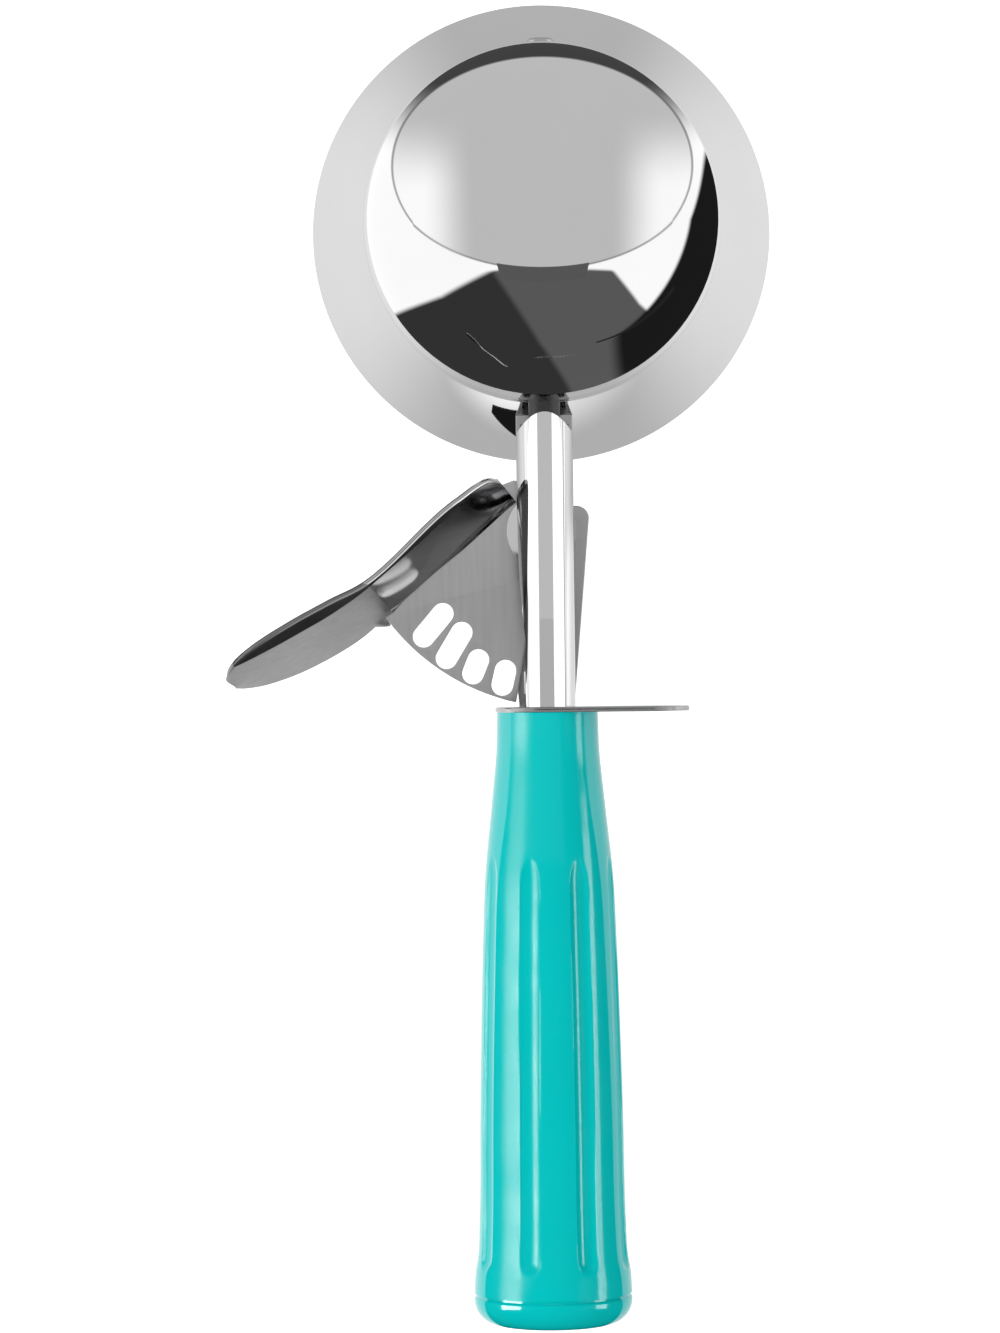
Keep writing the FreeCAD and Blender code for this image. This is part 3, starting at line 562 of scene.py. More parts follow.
def through_three(first, middle, last, count):
    """Circle through three points, sampled from first to last."""
    (ax, ay), (bx, by), (cx, cy) = first, middle, last
    d = 2 * (ax * (by - cy) + bx * (cy - ay) + cx * (ay - by))
    ux = ((ax**2 + ay**2) * (by - cy) + (bx**2 + by**2) * (cy - ay)
          + (cx**2 + cy**2) * (ay - by)) / d
    uy = ((ax**2 + ay**2) * (cx - bx) + (bx**2 + by**2) * (ax - cx)
          + (cx**2 + cy**2) * (bx - ax)) / d
    centre = np.array([ux, uy])
    angles = np.unwrap([np.arctan2(*(p - centre)[::-1]) for p in (first, middle, last)])
    return arc(centre, np.linalg.norm(first - centre), np.degrees(angles[0]),
               np.degrees(angles[2]), count)


print("slot pitch at the rim %.2f mm" % (np.radians(SLOT_PITCH) * SECTOR_R / MM))

# %% [markdown]
# The outline runs along the slotted rim, over the shoulder where the flange begins, and round
# the hub. The hub has a flat side, so that it stays under the channel. A thin bright washer
# lies on the hub.

# %% Lever: sector and washer
HUB_STEPS, RIM_STEPS, WASHER_STEPS = 60, 48, 97
HUB_FROM, HUB_TO, LEVER_EDGE, WASHER_EDGE = 75, -99, 0.15 * MM, 0.06 * MM
RIDGE_GAP, RIDGE_RISE, SHOULDER_LOW, SHOULDER_HIGH = 0.6 * MM, 0.7, 0.3, 0.8
ridge_end = polar(SECTOR_FAR_R, LAST_ANGLE)
ridge_start = PIVOT + np.array([-CHANNEL_R - RIDGE_GAP, HUB_R * RIDGE_RISE])
rim = through_three(polar(SECTOR_R, FIRST_ANGLE),
                    polar(SECTOR_R, (FIRST_ANGLE + LAST_ANGLE) / 2), ridge_end, RIM_STEPS)
hub_arc = arc(PIVOT, HUB_R, HUB_FROM, HUB_TO, HUB_STEPS)
hub_arc[:, 0] = np.minimum(hub_arc[:, 0], HUB_FLAT)
shoulder = np.array([PIVOT + [ridge_start[0] - SHOULDER_WIDE, SHOULDER_REACH * SHOULDER_LOW],
                     PIVOT + [ridge_start[0] - SHOULDER_WIDE, SHOULDER_REACH * SHOULDER_HIGH],
                     PIVOT + [ridge_start[0], SHOULDER_REACH]])
sector_outline = np.vstack([rim, shoulder, hub_arc])
slot_outlines = [slot_outline(*(SHORT_SLOT if step < 2 else LONG_SLOT),
                              FIRST_SLOT + SLOT_PITCH * step) for step in range(4)]
sector = sheet_piece("lever_sector", [sector_outline] + slot_outlines,
                     sector_low, sector_low + LEVER_THICK, LEVER_EDGE)
# The sector gets the paler steel, which is painted light.
place(sector, "lever", "brushed_steel", sector_steel_painted_light)
washer_low, washer_high = (np.array(v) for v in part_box("pivot_washer"))
washer_line = arc(PIVOT, washer_high[0], 0, 360, WASHER_STEPS)[:-1]
washer_line[:, 0] = np.minimum(washer_line[:, 0], HUB_FLAT)
washer = sheet_piece("pivot_disc", [washer_line], washer_low[2], washer_high[2], WASHER_EDGE)
place(washer, "root", "plain_steel", bright_steel, "pivot_washer")

# %% [markdown]
# The flange starts as a quarter round out of the sector's plane, leans away from the handle
# and grows into the paddle. Each cross-section is a line across the sheet, given by how far
# it reaches down and up and how much it leans; between a few such rows the numbers are
# blended with a smooth curve, and the sheet gets its thickness from its own normals.

# %% Lever: rows of the flange and the paddle
FLANGE_H, FLANGE_LEAN = 12.5 * MM, 6.4 * MM
PADDLE_LONG, PADDLE_HALF, PADDLE_RISE = 30.0 * MM, 10.0 * MM, 0.8 * MM
PADDLE_LEAN, PADDLE_CURL = 8.5 * MM, 7.0 * MM
BEND_R = 2.2 * MM
ridge_long = np.linalg.norm(ridge_end - ridge_start)
along = (ridge_end - ridge_start) / ridge_long
side = np.array([along[1], -along[0]])
top = sector_low + FLANGE_H
low = AXIS_Z + PADDLE_RISE - PADDLE_HALF
high = AXIS_Z + PADDLE_RISE + PADDLE_HALF
# distance along, low edge, high edge, lean of the low and of the high edge
rows = np.array([
    [0.0, sector_low + 1.0 * MM, top - 4.5 * MM, 0.0, FLANGE_LEAN * 0.62],
    [1.5 * MM, sector_low + 0.6 * MM, top - 2.2 * MM, 0.0, FLANGE_LEAN * 0.84],
    [ridge_long * 0.25, sector_low + 0.6 * MM, top, 0.0, FLANGE_LEAN],
    [ridge_long * 0.97, sector_low + 0.6 * MM, top, 0.0, FLANGE_LEAN],
    [ridge_long + PADDLE_LONG * 0.2, low + 1.6 * MM, high - 0.6 * MM, -0.2 * MM,
     PADDLE_LEAN * 0.93],
    [ridge_long + PADDLE_LONG * 0.45, low, high, 0.0, PADDLE_LEAN],
    [ridge_long + PADDLE_LONG * 0.7, low + 0.8 * MM, high - 0.8 * MM, 0.2 * MM,
     PADDLE_LEAN * 0.92],
    [ridge_long + PADDLE_LONG * 0.87, low + 3.0 * MM, high - 3.0 * MM, 0.6 * MM,
     PADDLE_LEAN * 0.74],
    [ridge_long + PADDLE_LONG * 0.96, low + 5.6 * MM, high - 5.6 * MM, 1.2 * MM,
     PADDLE_LEAN * 0.56],
    [ridge_long + PADDLE_LONG, low + 8.4 * MM, high - 8.4 * MM, 1.8 * MM, PADDLE_LEAN * 0.42]])
ALONG_STEPS, ACROSS_STEPS, ACROSS_POWER = 150, 64, 1.5
SCOOP, FADE_BEND, FADE_SCOOP = 0.4 * MM, 12, 3
strip = smooth_line(rows, ALONG_STEPS)
print("lever strip from ridge to tip %.1f mm" % (strip[-1, 0] / MM))

# %% [markdown]
# Each row becomes a line across the sheet. Near the sector that line starts with a quarter
# circle, as a press brake leaves it, and past the sector the sheet is hollowed a little for
# the thumb. More points lie near the bend, where the mirror picture changes fastest.

# %% Lever: surface of the flange and the paddle
past = np.clip(strip[:, 0] - ridge_long, 0, None) / PADDLE_LONG
base = (ridge_start + strip[:, :1] * along + (PADDLE_CURL * past**2)[:, None] * side)
across = np.linspace(0, 1, ACROSS_STEPS)[None, :] ** ACROSS_POWER
lean_by = strip[:, 3:4] + (strip[:, 4:5] - strip[:, 3:4]) * across
height = strip[:, 1:2] + (strip[:, 2:3] - strip[:, 1:2]) * across
rise = np.clip((height - sector_low) / BEND_R, 0, 1)
bend = BEND_R * (1 - np.sqrt(1 - (1 - rise) ** 2)) * np.clip(1 - past * FADE_BEND, 0, 1)[:, None]
scoop = SCOOP * np.sin(np.pi * across) * np.clip(past * FADE_SCOOP, 0, 1)[:, None]
plan = base[:, None, :] + side[None, None, :] * (lean_by - scoop - bend)[:, :, None]
face = np.concatenate([plan, height[:, :, None]], axis=-1)
print("flange and paddle:", face.shape[0], "rows of", face.shape[1], "points")

# %% [markdown]
# A surface has no thickness yet. Moving it half the sheet's thickness each way along its own
# normals gives both faces, and half rounds close the long edges, as on a tumbled stamping.

# %% Lever: thickness
EDGE_STEPS = 6


def thick_sheet(name, surface, thickness):
    """Closed sheet about a surface: the surface moved half a thickness each way along its
    normals, with a half round edge all round."""
    du = np.gradient(surface, axis=0)
    dv = np.gradient(surface, axis=1)
    normal = np.cross(du, dv)
    normal /= np.linalg.norm(normal, axis=-1, keepdims=True)
    half = thickness / 2
    front = surface + normal * half
    back = surface - normal * half
    turn = np.linspace(0, np.pi, EDGE_STEPS + 2)[1:-1]

    def edge(line, line_normal, outward):
        """Half round from front to back along one long edge."""
        return (line[:, None] + line_normal[:, None] * half * np.cos(turn)[None, :, None]
                + outward[:, None] * half * np.sin(turn)[None, :, None])

    out_high = dv[:, -1] / np.linalg.norm(dv[:, -1], axis=-1, keepdims=True)
    out_low = -dv[:, 0] / np.linalg.norm(dv[:, 0], axis=-1, keepdims=True)
    upper = edge(surface[:, -1], normal[:, -1], out_high)
    lower = edge(surface[:, 0], normal[:, 0], out_low)[:, ::-1]
    ring = np.concatenate([front, upper, back[:, ::-1], lower], axis=1)
    return make_piece(name, ring, close_columns=True, caps=True)


PADDLE_BRUSH_AND_SHADE_FROM = -1.5 * MM
paddle = thick_sheet("thumb_paddle", face, LEVER_THICK)
place(paddle, "lever", "brushed_steel", flange_steel, "thumb_lever")
# Faces past the ridge's end get brushed steel that is darkened with painted shade.
paddle.data.materials.append(paddle_steel_painted_shade)
centres = np.zeros(len(paddle.data.polygons) * 3)
paddle.data.polygons.foreach_get("center", centres)
beyond = (centres.reshape(-1, 3)[:, :2] - ridge_end) @ along > PADDLE_BRUSH_AND_SHADE_FROM
paddle.data.polygons.foreach_set("material_index", beyond.astype(np.int32))
print("faces with the paddle's finish:", int(beyond.sum()))

# %% [markdown]
# ## Stem plate, guard and rivets
# The plate under the channel and the guard are cut from flat sheet, so both are outlines
# with a soft edge. The guard stands on edge: it is made flat and then turned up, and its
# place is put into its mesh.

# %% Stem plate
plate_low, plate_high = (np.array(v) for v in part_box("stem_plate"))
WING_Y, WING_HALF, FOOT_HALF = -53.7 * MM, 8.4 * MM, 5.3 * MM
CORNER, CORNER_STEPS, NECK_OVERLAP, SHEET_EDGE = 2.4 * MM, 12, 0.15 * MM, 0.2 * MM
TANG_END = plate_low[1]
skirt_r = DOME_R + (AXIS_Z - plate_high[2]) * np.tan(flare)
neck_top = -np.sqrt(skirt_r**2 - CHANNEL_R**2) - NECK_OVERLAP
corner_arc = arc((WING_HALF - CORNER, WING_Y - CORNER), CORNER, 88, 2, CORNER_STEPS)
right_side = np.vstack([[[CHANNEL_R, neck_top], [CHANNEL_R, WING_Y]], corner_arc,
                        [[FOOT_HALF, GUARD_TOP], [FOOT_HALF, TANG_END]]])
plate_outline = np.vstack([right_side, right_side[::-1] * [-1, 1]])
stem_plate = sheet_piece("stem_sheet", [plate_outline], plate_low[2], plate_high[2], SHEET_EDGE)
place(stem_plate, "root", "brushed_steel", plate_steel, "stem_plate")

# %% [markdown]
# The guard stops the forefinger. It is one blank: a large circle round the stem and a smaller
# one at the tongue, joined by the two lines that touch both, with a hole shaped like the stem.
# It stands edge-on to the camera, so it is cut flat and its mesh is then turned upright.

# %% Finger guard
RING_R, TIP_R, RING_STEPS, TIP_STEPS, HOLE_STEPS = 9.9 * MM, 8.0 * MM, 60, 40, 30
tip_x = guard_high[0] - TIP_R
lean = np.degrees(np.arcsin((RING_R - TIP_R) / tip_x))
guard_outline = np.vstack([arc((0, 0), RING_R, 90 - lean, 270 + lean, RING_STEPS),
                           arc((tip_x, 0), TIP_R, -90 + lean, 90 - lean, TIP_STEPS)])
hole_top = arc((0, 0), CHANNEL_R, 180, 0, HOLE_STEPS)
hole = np.vstack([hole_top, [[CHANNEL_R, plate_low[2] - AXIS_Z],
                             [-CHANNEL_R, plate_low[2] - AXIS_Z]]])
guard = sheet_piece("guard_sheet", [guard_outline, hole], GUARD_FOOT, GUARD_TOP, SHEET_EDGE)
turn_up = Matrix(((1, 0, 0, 0), (0, 0, 1, 0), (0, 1, 0, AXIS_Z), (0, 0, 0, 1)))
guard.data.transform(turn_up)
guard.data.flip_normals()
place(guard, "root", "brushed_steel", guard_steel, "finger_guard")

# %% [markdown]
# ## The grip
# Moulded plastic with eight shallow flutes. Its radius is a function of two numbers, the
# distance down the grip and the angle round it: a smooth curve down the grip, less a round
# bottomed dip near each flute's angle that fades out at the flute's ends.

# %% Grip: profile
FLUTES, FLUTE_ANGLE, FLUTE_DEEP, FLUTE_HALF = 8, 27.0, 0.8 * MM, 2.0 * MM
FLUTE_FROM, FLUTE_TO = 27.5 * MM, 105.2 * MM
RUN_IN, RUN_OUT, DIP_POWER = 6 * MM, 2.2 * MM, 0.8
AROUND, DOWN = 448, 200
grip_length = grip_high[1] - grip_low[1]
profile_stops = np.array([[0.0, 9.6], [7.0, 9.8], [17.0, 10.75], [31.5, 12.2], [44.0, 12.75],
                          [55.0, 13.1], [76.0, 13.6], [97.0, 13.95], [103.0, 14.25],
                          [106.5, 14.8], [grip_length / MM, 15.0]]) * MM
down = smooth_line(profile_stops, DOWN)
print("grip %.1f mm long, %.1f to %.1f mm across" %
      (grip_length / MM, 2 * down[0, 1] / MM, 2 * down[-1, 1] / MM))

# %% [markdown]
# Every point of the grid knows its angle and its distance down the grip. Its offset from the
# nearest flute, measured in flute widths, and how far it lies past the flute's ends give one
# distance, and the dip is a round bottom over that distance.

# %% Grip: flutes
angle = np.linspace(0, 2 * np.pi, AROUND, endpoint=False)[None, :]
wide = down[:, 1:2]
pitch = 2 * np.pi / FLUTES
offset = (angle - np.radians(FLUTE_ANGLE) + pitch / 2) % pitch - pitch / 2
sideways = offset * wide / FLUTE_HALF
travel = down[:, 0:1]
over_start = np.clip((FLUTE_FROM + RUN_IN - travel) / RUN_IN, 0, 1)
over_end = np.clip((travel - FLUTE_TO + RUN_OUT) / RUN_OUT, 0, 1)
away = np.sqrt(sideways**2 + over_start**2 + over_end**2)
dip = FLUTE_DEEP * np.clip(1 - away**2, 0, 1) ** DIP_POWER
radius = wide - dip
grip_grid = np.stack([radius * np.sin(angle),
                      np.broadcast_to(GUARD_FOOT - travel, radius.shape),
                      AXIS_Z + radius * np.cos(angle)], axis=-1)
grip = make_piece("grip_body", grip_grid, close_columns=True, caps=True)
place(grip, "root", "grip_plastic", teal, "handle_grip")

# %% [markdown]
# The cap closes the grip: the same teal plastic with a fine seam above it, a belt, a round
# edge and a bottom that bulges very slightly.

# %% End cap
CAP_SIDES, CAP_EDGE_STEPS, CROWN_STEPS, MIDDLE_R = 256, 20, 16, 0.02 * MM


def turned_about_stem(name, profile):
    """Profile of (y, radius) turned about the stem's axis, with closed ends on the axis."""
    turn = np.linspace(0, 2 * np.pi, CAP_SIDES, endpoint=False)[None, :]
    y, r = profile[:, :1], profile[:, 1:2]
    grid = np.stack([r * np.sin(turn), np.broadcast_to(y, (len(profile), CAP_SIDES)),
                     AXIS_Z + r * np.cos(turn)], axis=-1)
    return make_piece(name, grid, close_columns=True, caps=True)


CAP_EDGE, CROWN, SEAM = 4.6 * MM, 0.7 * MM, 0.45 * MM
cap_r = grip_high[0]
cap_top = grip_low[1]
cap_foot = cap_low[1]
belt = np.array([[cap_top, cap_r - SEAM], [cap_top - SEAM, cap_r - SEAM],
                 [cap_top - SEAM * 1.6, cap_r - SEAM * 0.3], [cap_top - SEAM * 2.2, cap_r]])
edge_centre = (cap_foot + CAP_EDGE + CROWN, cap_r - CAP_EDGE)
edge = arc(edge_centre, CAP_EDGE, 90, 180, CAP_EDGE_STEPS)
crown_r = np.linspace(cap_r - CAP_EDGE, MIDDLE_R, CROWN_STEPS)[1:]
crown_y = cap_foot + CROWN * (crown_r / (cap_r - CAP_EDGE)) ** 2
print("cap length mm", round((cap_top - cap_foot) / MM, 2))
cap_profile = np.vstack([belt, edge, np.stack([crown_y, crown_r], 1)])
end_cap = turned_about_stem("grip_cap", cap_profile)
place(end_cap, "root", "grip_plastic", teal, "end_cap")
# The photograph's dome mirrors no handle, so mirror rays pass the plastic by.
grip.visible_glossy = False
end_cap.visible_glossy = False

# %% [markdown]
# ## The spring
# A coil spring turns the scraper back. It is wound from round wire: a small circle carried
# along a helix. The circle is kept in the plane through the axis, which for so flat a helix
# can't be told from one that stands square to the wire.

# %% Spring
spring_low, spring_high = (np.array(v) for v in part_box("return_spring"))
WIRE, COILS, COIL_STEPS, WIRE_SIDES = 0.6 * MM, 7, 420, 12
coil_r = (spring_high[0] - spring_low[0]) / 2 - WIRE / 2
walk = np.linspace(0, 1, COIL_STEPS)[:, None]
turns = walk * COILS * 2 * np.pi
tube = np.linspace(0, 2 * np.pi, WIRE_SIDES, endpoint=False)[None, :]
ring_out = coil_r + WIRE / 2 * np.cos(tube)
spring_y = spring_low[1] + WIRE / 2 + walk * (spring_high[1] - spring_low[1] - WIRE)
coil_grid = np.stack([ring_out * np.cos(turns), spring_y + WIRE / 2 * np.sin(tube),
                      AXIS_Z + ring_out * np.sin(turns)], axis=-1)
spring = make_piece("shaft_spring", coil_grid, close_columns=True, caps=True)
place(spring, "scraper", "spring_steel", wire_steel, "return_spring")

# %% [markdown]
# ## Floor, backdrop and lights
# The floor is pale and even. A camera ray sees it white, and it keeps a soft shadow. Mirror
# metal needs something to mirror, as in a photo studio: here a light tent with a round pale
# ceiling, bright walls and a dark gap behind the handle, where the photographer stands. The
# tent shows in reflections only, so it lights nothing and hides nothing.

# %% Glowing materials
def glow_material(name):
    """Empty material with an emission shader and an output; the caller joins them."""
    material = bpy.data.materials.new(name)
    material.use_nodes = True
    nodes, links = material.node_tree.nodes, material.node_tree.links
    nodes.clear()
    return (material, nodes, links, nodes.new("ShaderNodeEmission"),
            nodes.new("ShaderNodeOutputMaterial"))


def sums(nodes, links):
    """Four short helpers for node arithmetic: op joins sockets or numbers with one operation,
    soft runs smoothly from 0 to 1 while a value goes from start to stop, far is the root of
    the summed squares of two values, and mix goes from first to second by a share."""
    def op(kind, *values):
        node = nodes.new("ShaderNodeMath")
        node.operation = kind
        for slot, value in zip(node.inputs, values):
            if isinstance(value, (int, float)):
                slot.default_value = value
            else:
                links.new(value, slot)
        return node.outputs[0]

    def soft(value, start, stop):
        node = nodes.new("ShaderNodeMapRange")
        node.interpolation_type = "SMOOTHSTEP"
        low, high = sorted((start, stop))
        node.inputs["From Min"].default_value = low
        node.inputs["From Max"].default_value = high
        node.inputs["To Min"].default_value = 0.0 if start < stop else 1.0
        node.inputs["To Max"].default_value = 1.0 if start < stop else 0.0
        links.new(value, node.inputs["Value"])
        return node.outputs["Result"]

    def far(x, y):
        return op("SQRT", op("ADD", op("MULTIPLY", x, x), op("MULTIPLY", y, y)))

    def mix(first, second, share):
        return op("MULTIPLY_ADD", op("SUBTRACT", second, first), share, first)

    return op, soft, far, mix


print("glow helpers ready")

# %% [markdown]
# Three small joints come up several times: one shader or another by a share, two shaders
# together, and a sheet that shows on its front only. A fourth reads a point's place in plan.

# %% Joining shaders
def mix_shaders(nodes, links, share, first, second):
    """Shader that goes from first to second as share goes from 0 to 1."""
    mix = nodes.new("ShaderNodeMixShader")
    for slot, source in zip(mix.inputs, (share, first, second)):
        links.new(source, slot)
    return mix.outputs[0]


def add_shaders(nodes, links, first, second):
    """The light of both shaders together."""
    both = nodes.new("ShaderNodeAddShader")
    links.new(first, both.inputs[0])
    links.new(second, both.inputs[1])
    return both.outputs[0]


def clear_from_behind(nodes, links, front, out):
    """Joins a shader to the output so that it shows on the front only: the back is clear."""
    clear = nodes.new("ShaderNodeBsdfTransparent").outputs[0]
    back = nodes.new("ShaderNodeNewGeometry").outputs["Backfacing"]
    links.new(mix_shaders(nodes, links, back, front, clear), out.inputs["Surface"])


def plan_place(nodes, links):
    """The x and y of the point that is shaded, in metres."""
    where = nodes.new("ShaderNodeTexCoord")
    parts = nodes.new("ShaderNodeSeparateXYZ")
    links.new(where.outputs["Object"], parts.inputs[0])
    return parts.outputs[0], parts.outputs[1]


print("shader joints ready")

# %% [markdown]
# The tent is drawn in the bowl's own mirror picture. Seen from above, a ball shows the whole
# room inside its circle: u runs right, v runs up, and the circle's edge is 1. There the
# ceiling is an ellipse, the walls are white, and the gap is a dark wedge at the bottom.

# %% Tent: ceiling and walls in the dome's picture
CEILING_V, CEILING_U_HALF, CEILING_V_HALF = 0.289, 0.815, 0.585
CEILING_GREY, WALL_WHITE = 0.60, 1.18
GLOW_INNER, GLOW_OUTER, GLOW_HIGH, GLOW_LOW = 0.36, 0.66, 0.60, 0.15
EDGE_SOFT, OUTLINE_WIDE, OUTLINE_CORE, OUTLINE_DARK = 0.005, 0.012, 0.003, 0.6


def ceiling_and_walls(nodes, links, u, v):
    """Brightness at u, v, and 1 outside the ceiling, 0 inside it. The ceiling is a grey ellipse
    that turns white at its lower sides, and a thin dark line parts it from the white walls."""
    op, soft, far, mix = sums(nodes, links)
    across = op("DIVIDE", u, CEILING_U_HALF)
    up = op("DIVIDE", op("SUBTRACT", v, CEILING_V), CEILING_V_HALF)
    edge = far(across, up)
    outside = soft(edge, 1 - EDGE_SOFT, 1 + EDGE_SOFT)
    outline = soft(op("ABSOLUTE", op("SUBTRACT", edge, 1.0)), OUTLINE_WIDE, OUTLINE_CORE)
    glow = op("MULTIPLY", soft(op("ABSOLUTE", u), GLOW_INNER, GLOW_OUTER),
              soft(v, GLOW_HIGH, GLOW_LOW))
    ceiling = op("MULTIPLY_ADD", glow, WALL_WHITE - CEILING_GREY, CEILING_GREY)
    value = mix(ceiling, WALL_WHITE, outside)
    return op("MULTIPLY", value, op("MULTIPLY_ADD", outline, -OUTLINE_DARK, 1.0)), outside


print("tent: ceiling %.2f to %.2f up the dome's picture" %
      (CEILING_V - CEILING_V_HALF, CEILING_V + CEILING_V_HALF))

# %% [markdown]
# Over the walls come the darker parts: the wedge of the gap behind the handle, a shade lighter
# on one side, a black crescent at the right and the dark top, and last a pale lower rim. Each
# is a share from 0 to 1 with a soft edge, and brightness is mixed in by that share.

# %% Tent: gap, crescent and rims in the dome's picture
GAP_TOP, GAP_LEFT, GAP_RIGHT = -0.296, (-0.288, 0.41), (0.44, -1.05)
GAP_SPLIT, GAP_DARK, GAP_LIGHT = (-0.255, -1.5), 0.036, 0.115
GAP_SOFT, GAP_DROP, GAP_EDGE, SPLIT_SOFT = 0.02, 0.06, 0.01, (-0.02, 0.06)
SIDE_CENTRE, SIDE_EDGE, SIDE_HIGH, SIDE_BLACK = (-0.12, 0.12), 0.935, 0.40, 0.012
SIDE_SOFT, SIDE_FADE, SIDE_STRETCH, SIDE_FROM = 0.012, 0.06, -0.25, (0.35, 0.45)
RIM_START, RIM_LIGHT, TOP_DARK = 0.95, 0.60, 0.06
TOP_FADE, RIM_SOFT, RIM_FADE = (0.35, 0.75), 0.01, (-0.35, -0.6)


def tent_value(nodes, links, u, v):
    """Brightness of the tent at u, v of the dome's picture: ceiling and walls, and over them
    the gap's wedge between two lines, a crescent outside a circle that is set off to the left,
    a top that darkens with v and a lower rim that starts near the picture's edge."""
    op, soft, far, mix = sums(nodes, links)
    value, outside = ceiling_and_walls(nodes, links, u, v)

    def above(line):
        """How far a point lies above the line that starts at u, just under the gap's top, and
        has the given slope."""
        start, slope = line
        drop = op("MULTIPLY", op("SUBTRACT", u, start), slope)
        height = GAP_TOP if slope > 0 else GAP_TOP - GAP_DROP
        return op("SUBTRACT", op("SUBTRACT", v, height), drop)

    gap = op("MULTIPLY", soft(above(GAP_LEFT), GAP_SOFT, -GAP_SOFT),
             soft(above(GAP_RIGHT), GAP_SOFT, -GAP_SOFT))
    under = soft(v, GAP_TOP + GAP_EDGE, GAP_TOP - GAP_EDGE)
    gap = op("MULTIPLY", gap, op("MULTIPLY", outside, under))
    value = mix(value, mix(GAP_DARK, GAP_LIGHT, soft(above(GAP_SPLIT), *SPLIT_SOFT)), gap)
    reach = far(op("SUBTRACT", u, SIDE_CENTRE[0]), op("SUBTRACT", v, SIDE_CENTRE[1]))
    reach = op("MULTIPLY_ADD", op("MAXIMUM", v, 0.0), SIDE_STRETCH, reach)
    side = op("MULTIPLY", soft(reach, SIDE_EDGE - SIDE_SOFT, SIDE_EDGE + SIDE_SOFT),
              op("MULTIPLY", soft(u, *SIDE_FROM), soft(v, SIDE_HIGH, SIDE_HIGH - SIDE_FADE)))
    value = mix(value, SIDE_BLACK, side)
    value = mix(value, TOP_DARK, op("MULTIPLY", outside, soft(v, *TOP_FADE)))
    rim = op("MULTIPLY", soft(far(u, v), RIM_START, RIM_START + RIM_SOFT), soft(v, *RIM_FADE))
    return mix(value, RIM_LIGHT, rim)


print("tent: gap starts %.2f down the dome's picture" % -GAP_TOP)

# %% [markdown]
# Studio gear must not show to the camera, light matt surfaces or throw shadows. Only mirror
# rays meet the tent, and the plastic is left out of it by light linking: a collection whose
# members are excluded as receivers.

# %% Who sees the tent
def stage_only(piece):
    """Marks a piece as studio gear that only mirror rays see."""
    piece.visible_camera = False
    piece.visible_diffuse = False
    piece.visible_shadow = False
    piece.visible_transmission = False
    piece.visible_volume_scatter = False


not_plastic = bpy.data.collections.new("tent receivers")
bpy.context.scene.collection.children.link(not_plastic)
for plastic in (grip, end_cap):
    not_plastic.objects.link(plastic)
for member in not_plastic.collection_objects:
    member.light_linking.link_state = "EXCLUDE"


def hang_tent(name, grid, material):
    """Piece of the tent: it glows, and neither the plastic nor the camera sees it."""
    piece = make_piece(name, grid, close_columns=True)
    piece.data.materials.append(material)
    piece.light_linking.receiver_collection = not_plastic
    stage_only(piece)
    print(name, len(piece.data.polygons), "faces")
    return piece


# %% [markdown]
# The tent's upper part is a half ball, far away, so a direction alone gives u and v. Below
# the horizon a flat ring just over the floor takes its place.

# %% Tent: half ball
TENT_R, TENT_RINGS, TENT_SIDES = 1.5, 48, 96


def tent_ball():
    """Half ball about the dome's centre. Seen from above, a ball mirrors a direction at its x
    and y, each divided by the root of twice the sum of 1 and its z."""
    material, nodes, links, glow, out = glow_material("tent ceiling")
    op = sums(nodes, links)[0]
    where = nodes.new("ShaderNodeTexCoord")
    shift = nodes.new("ShaderNodeVectorMath")
    shift.operation = "SUBTRACT"
    shift.inputs[1].default_value = (0, 0, AXIS_Z)
    unit = nodes.new("ShaderNodeVectorMath")
    unit.operation = "NORMALIZE"
    parts = nodes.new("ShaderNodeSeparateXYZ")
    links.new(where.outputs["Object"], shift.inputs[0])
    links.new(shift.outputs[0], unit.inputs[0])
    links.new(unit.outputs[0], parts.inputs[0])
    length = op("SQRT", op("MULTIPLY_ADD", parts.outputs[2], 2.0, 2.0))
    u = op("DIVIDE", parts.outputs[0], length)
    v = op("DIVIDE", parts.outputs[1], length)
    links.new(tent_value(nodes, links, u, v), glow.inputs["Strength"])
    links.new(glow.outputs[0], out.inputs["Surface"])
    rise = np.linspace(0, np.pi / 2, TENT_RINGS)[:, None]
    turn = np.linspace(0, 2 * np.pi, TENT_SIDES, endpoint=False)[None, :]
    grid = np.stack([TENT_R * np.cos(rise) * np.cos(turn), TENT_R * np.cos(rise) * np.sin(turn),
                     np.broadcast_to(TENT_R * np.sin(rise), (TENT_RINGS, TENT_SIDES))], -1)
    hang_tent("tent_ceiling", grid, material)


tent_ball()

# %% [markdown]
# Rays that the dome's lower part sends out meet the ring instead. It glows on its upper side
# only: the dome sees it, and the stem and the skirt, which lie under it, look through it.

# %% Tent: ring over the floor
LOW_Z, LOW_R, LOW_RINGS, LOW_REACH = 30.0 * MM, 33.7 * MM, 24, 0.97
LOW_SCALE, LOW_SHIFT, HORIZON = 170.0, -1.5, np.sqrt(0.5)


